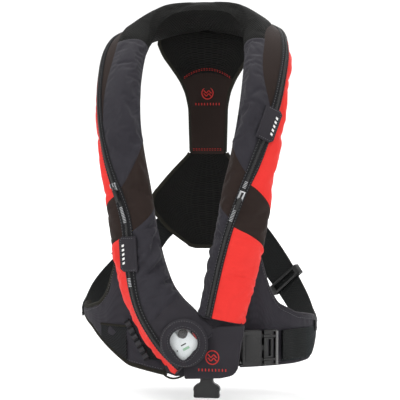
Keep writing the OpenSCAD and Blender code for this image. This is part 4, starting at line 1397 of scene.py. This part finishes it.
def spine(c):
    """The wearer's middle at the height of c, so that faces turn outwards."""
    return np.array([0, 0, c.z])


def chest_sheet(name, side, start, stop, top, low, off, rows, cols):
    def place(down, across):
        angle = start + (stop - start) * down
        z = top(angle) + (low(angle) - top(angle)) * across
        return chest(side, angle, z, off(angle))
    return face_away(sheet_grid(name, rows, cols, place), spine)


def finish_sheet(piece, material, slot, thick, *nodes, smooth=True):
    thicken(piece, thick, smooth=smooth)
    dress(piece, material, slot, *nodes)


POCKET_TOP, LEFT_MESH_TOP = -420, -424
pocket = chest_sheet("Pocket_mesh", RIGHT, -40, -58, constant(POCKET_TOP),
                     lambda a: smooth_read(WING_LOW[RIGHT], a) + 5, constant(9.2), 40, 20)
finish_sheet(pocket, POCKET, "spacer_mesh", 0.0012, "pocket_mesh", smooth=False)
left_mesh = chest_sheet("Wing_mesh_left", LEFT, 4, -42, constant(LEFT_MESH_TOP),
                        lambda a: smooth_read(WING_LOW[LEFT], a) + 3, constant(8.8), 60, 20)
finish_sheet(left_mesh, RIB_MESH, "spacer_mesh", 0.0012, smooth=False)
pocket_top = [chest(RIGHT, a, POCKET_TOP, 9.6) for a in np.linspace(-40, -58, 40)]
dress(tube("Pocket_binding", pocket_top, 0.0018), BINDING, "webbing")

# %% Ladder of webbing loops on the right wing
LADDER_TOP, LADDER_LOW = (-59, -412), (-70, -466)


def ladder_place(t, across, off):
    angle = LADDER_TOP[0] + (LADDER_LOW[0] - LADDER_TOP[0]) * t
    z = LADDER_TOP[1] + (LADDER_LOW[1] - LADDER_TOP[1]) * t
    return chest(RIGHT, angle - across * 1.3, z + across * 2.4, off)


ladder = sheet_grid("Ladder_webbing", 40, 8,
                    lambda down, across: ladder_place(down, across * 2 - 1, 11))
bumps = np.repeat(np.abs(np.sin(np.linspace(0, 6 * math.pi, 41))), 9) * 0.0022
out = np.array([v.normal for v in ladder.data.vertices])
flip = 1 if np.dot(out[180], chest_out(RIGHT, -62)) > 0 else -1
set_coordinates(ladder, coordinates(ladder) + out * bumps[:, None] * flip)
finish_sheet(face_away(ladder, spine), LADDER_WEB, "webbing", 0.0016)
for number in range(7):
    across = [ladder_place(number / 6, a, 12.2) for a in np.linspace(-0.95, 0.95, 8)]
    dress(tube(f"Ladder_tack_{number}", across, 0.0017), TAPE, "webbing")

# %% Side straps, belt and their webbing
STRAP_TOP = {RIGHT: [(-8, -404), (8, -390), (24, -362), (36, -338), (60, -285), (72, -250)],
             LEFT: [(-8, -416), (8, -414), (20, -406), (34, -368), (62, -276), (72, -262)]}
STRAP_LOW = {RIGHT: [(-8, -416), (8, -416), (24, -412), (36, -400), (60, -347), (72, -296)],
             LEFT: [(-8, -432), (8, -434), (20, -444), (34, -444), (62, -354), (72, -312)]}
STRAP_LIFT = [(8, 7.5), (24, 11)]


def strap_edge(table, shift=0.0):
    return lambda angle: smooth_read(table, angle, 3) + shift


for side in (RIGHT, LEFT):
    name = SIDE_NAME[side]
    strap = chest_sheet(f"Side_strap_{name}", side, 72, -8, strap_edge(STRAP_TOP[side]),
                        strap_edge(STRAP_LOW[side]), lambda a: smooth_read(STRAP_LIFT, a) + 2.4, 80,
                        12)
    finish_sheet(strap, WEBBING, "webbing", 0.0022, f"{name}_side_strap")
    angles = np.linspace(71, -7, 80)
    for label, table, shift in (("top", STRAP_TOP[side], -4), ("low", STRAP_LOW[side], 4)):
        edge = strap_edge(table, shift)
        row = [chest(side, a, edge(a), smooth_read(STRAP_LIFT, a) + 3.1) for a in angles]
        chest_stitches(f"Strap_stitch_{name}_{label}", side, row, angles)

BELT_Z, BELT_HALF = -445, 21.5
BELT_FRONT_LIFT = [(-112, 10.5), (-78, 10.5), (-66, 15.4)]
BELT_SIDE_LIFT = [(-43, 15), (-34, 10), (-22, 10)]
for name, start, stop, lift, reach, rows, nodes in (
        ("Belt_front", -66, -112, BELT_FRONT_LIFT, 3, 50, ["waist_webbing"]),
        ("Belt_side", -22, -43, BELT_SIDE_LIFT, 2, 30, [])):
    belt = chest_sheet(name, LEFT, start, stop, constant(BELT_Z + BELT_HALF),
                       constant(BELT_Z - BELT_HALF), lambda a: smooth_read(lift, a, reach), rows, 8)
    finish_sheet(belt, WEBBING, "webbing", 0.0022, *nodes)
print("wings and straps sewn")

# %% [markdown]
# ## Waist buckle details
# A round tongue shows through the female half, and a bar holds the belt in the male half. The
# bar's light grey is a painted highlight.

# %% Tongue, cover and bar
BUCKLE = np.array([98, -103, -445]) * MM
TURN = math.radians(22)
buckle_x = np.array([math.cos(TURN), math.sin(TURN), 0])
buckle_out = np.array([math.sin(TURN), -math.cos(TURN), 0])


def buckle_axes(origin):
    return axes(origin, buckle_x, (0, 0, 1), buckle_out)


buckle_at = buckle_axes(BUCKLE)
shield = [(-0.018, -0.019), (-0.008, -0.019)]
shield += [(-0.010 + 0.015 * math.cos(t), 0.019 * math.sin(t)) for t in np.linspace(-1.3, 1.3, 20)]
shield += [(-0.008, 0.019), (-0.018, 0.019)]
dress(plate("Buckle_cover", shield, 0.0016, buckle_axes(buckle_at(0, 0, 0.0060)), 0.0007),
      PLASTIC, "black_plastic")
for number, z in enumerate((-0.0165, 0.0165)):
    prong = [buckle_at(a, z, 0.0052) for a in np.linspace(0.009, 0.028, 8)]
    dress(tube(f"Buckle_prong_{number}", prong, 0.0022, 10), PLASTIC, "black_plastic", body="clip")
bar_rod = tube("Buckle_bar", [buckle_at(0.0285, z, 0.0062) for z in np.linspace(-0.024, 0.024, 12)],
               0.0019, 12)
# The bar's light grey is a painted highlight on a black plastic bar.
BAR_HIGHLIGHT = finish("Painted_highlight_grey", (0.10, 0.10, 0.10), (0.2, 0.2, 0.2), bump=0.00005, rough=0.3)
dress(bar_rod, BAR_HIGHLIGHT, "black_plastic", body="clip")
print("waist buckle detailed")

# %% [markdown]
# ## Crotch buckle and its webbing
# The female half hangs on a short webbing tab below the front tab. Its shoulders are cut away where
# the fingers press.

# %% Crotch buckle
CROTCH = np.array([30, -129, -486]) * MM
crotch_at = front_axes(CROTCH + np.array([0, 0.006, 0]))
HALF_OUTLINE = [(9.0, 1.5), (9.0, -4.5), (10.5, -7.0), (15.0, -9.0), (18.6, -12.5), (19.0, -17.0),
                (17.4, -20.5), (18.8, -24.5), (18.0, -27.5), (15.0, -28.0)]
outline = in_mm(HALF_OUTLINE + [(-a, b) for a, b in HALF_OUTLINE[::-1]])
dress(plate("Crotch_buckle", outline, 0.012, crotch_at, 0.0018), PLASTIC, "black_plastic",
      "crotch_buckle", body="crotch_buckle")
for number, x in enumerate((-0.0165, 0.0165)):
    grip = [crotch_at(x, b, 0.0112) for b in np.linspace(-0.015, -0.024, 6)]
    dress(tube(f"Crotch_grip_{number}", grip, 0.0018), PLASTIC, "black_plastic",
          body="crotch_buckle")
HANG_TOP, HANG_LOW, HANG_WIDE = -0.463, -0.4855, 0.020
hang = sheet_grid("Crotch_webbing", 24, 8, lambda down,
                  across: np.array([0.030 + (across - 0.5) * HANG_WIDE, CROTCH[1] - 0.0030,
                                    HANG_TOP - (HANG_TOP - HANG_LOW) * down]))
thicken(face_away(hang, behind), 0.0024, smooth=False)
dress(hang, WEBBING, "webbing", "crotch_webbing")
loop = [CROTCH + np.array([x, 0, 0]) for x in np.linspace(-0.009, 0.009, 6)]
dress(tube("Crotch_loop", loop, 0.0038, 14), WEBBING, "webbing")
print("crotch buckle hung")

# %% [markdown]
# ## Back ring, its tab and the pull cord
# The tab is a folded piece of webbing round the ring's bar. The pull cord is a short loop under the
# right lobe's tip. It comes out of the cover and goes back into it.

# %% Tab and cord
RING_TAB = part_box("ring_tab")
tab_x = (RING_TAB[0].x + RING_TAB[1].x) / 2
bar_centre = np.array([tab_x, 0.119, RING_TAB[0].z + 0.0044])
BAR_WRAP = 0.0031
fold = [(-0.0055, 0.018), (-0.0055, 0.012), (-0.0050, 0.006)]
fold += [(BAR_WRAP * math.cos(t), BAR_WRAP * math.sin(t))
         for t in np.linspace(math.pi * 0.85, math.pi * 2.2, 14)]
fold += [(0.0002, 0.007), (-0.0020, 0.012), (-0.0028, 0.018)]
fold = [bar_centre + np.array([0, y, z]) for y, z in fold]
steps = len(fold) - 1
ring_tab = sheet_grid("Ring_tab", steps, 6, lambda down, across: (
    fold[round(down * steps)] + np.array([(across - 0.5) * 0.012, 0, 0])))
thicken(ring_tab, 0.0018, offset=0)
dress(ring_tab, WEBBING, "webbing", "ring_tab")

PULL_ROUTE = [(-29, -128, -471), (-32, -128, -476), (-32, -128, -482), (-27, -128, -486),
              (-20, -128, -488), (-12, -128, -487), (-5, -128, -484), (0, -128, -481)]
route = [np.array(p) * MM for p in PULL_ROUTE]
cord_line = [spline(route, s) for s in np.linspace(0, len(route) - 1, 29)]
cord_length = sum(np.linalg.norm(b - a) for a, b in zip(cord_line, cord_line[1:]))
pull_cord = tube("Pull_cord", cord_line, 0.0015, 10)
dress(pull_cord, BINDING, "cord", "pull_cord")
tuple(cord_line[0])
[tuple(p) for p in cord_line]
print("pull cord", round(cord_length, 4), "m")

# %% Sizes
low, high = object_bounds()
print("visual model", [round(v, 3) for v in high - low])
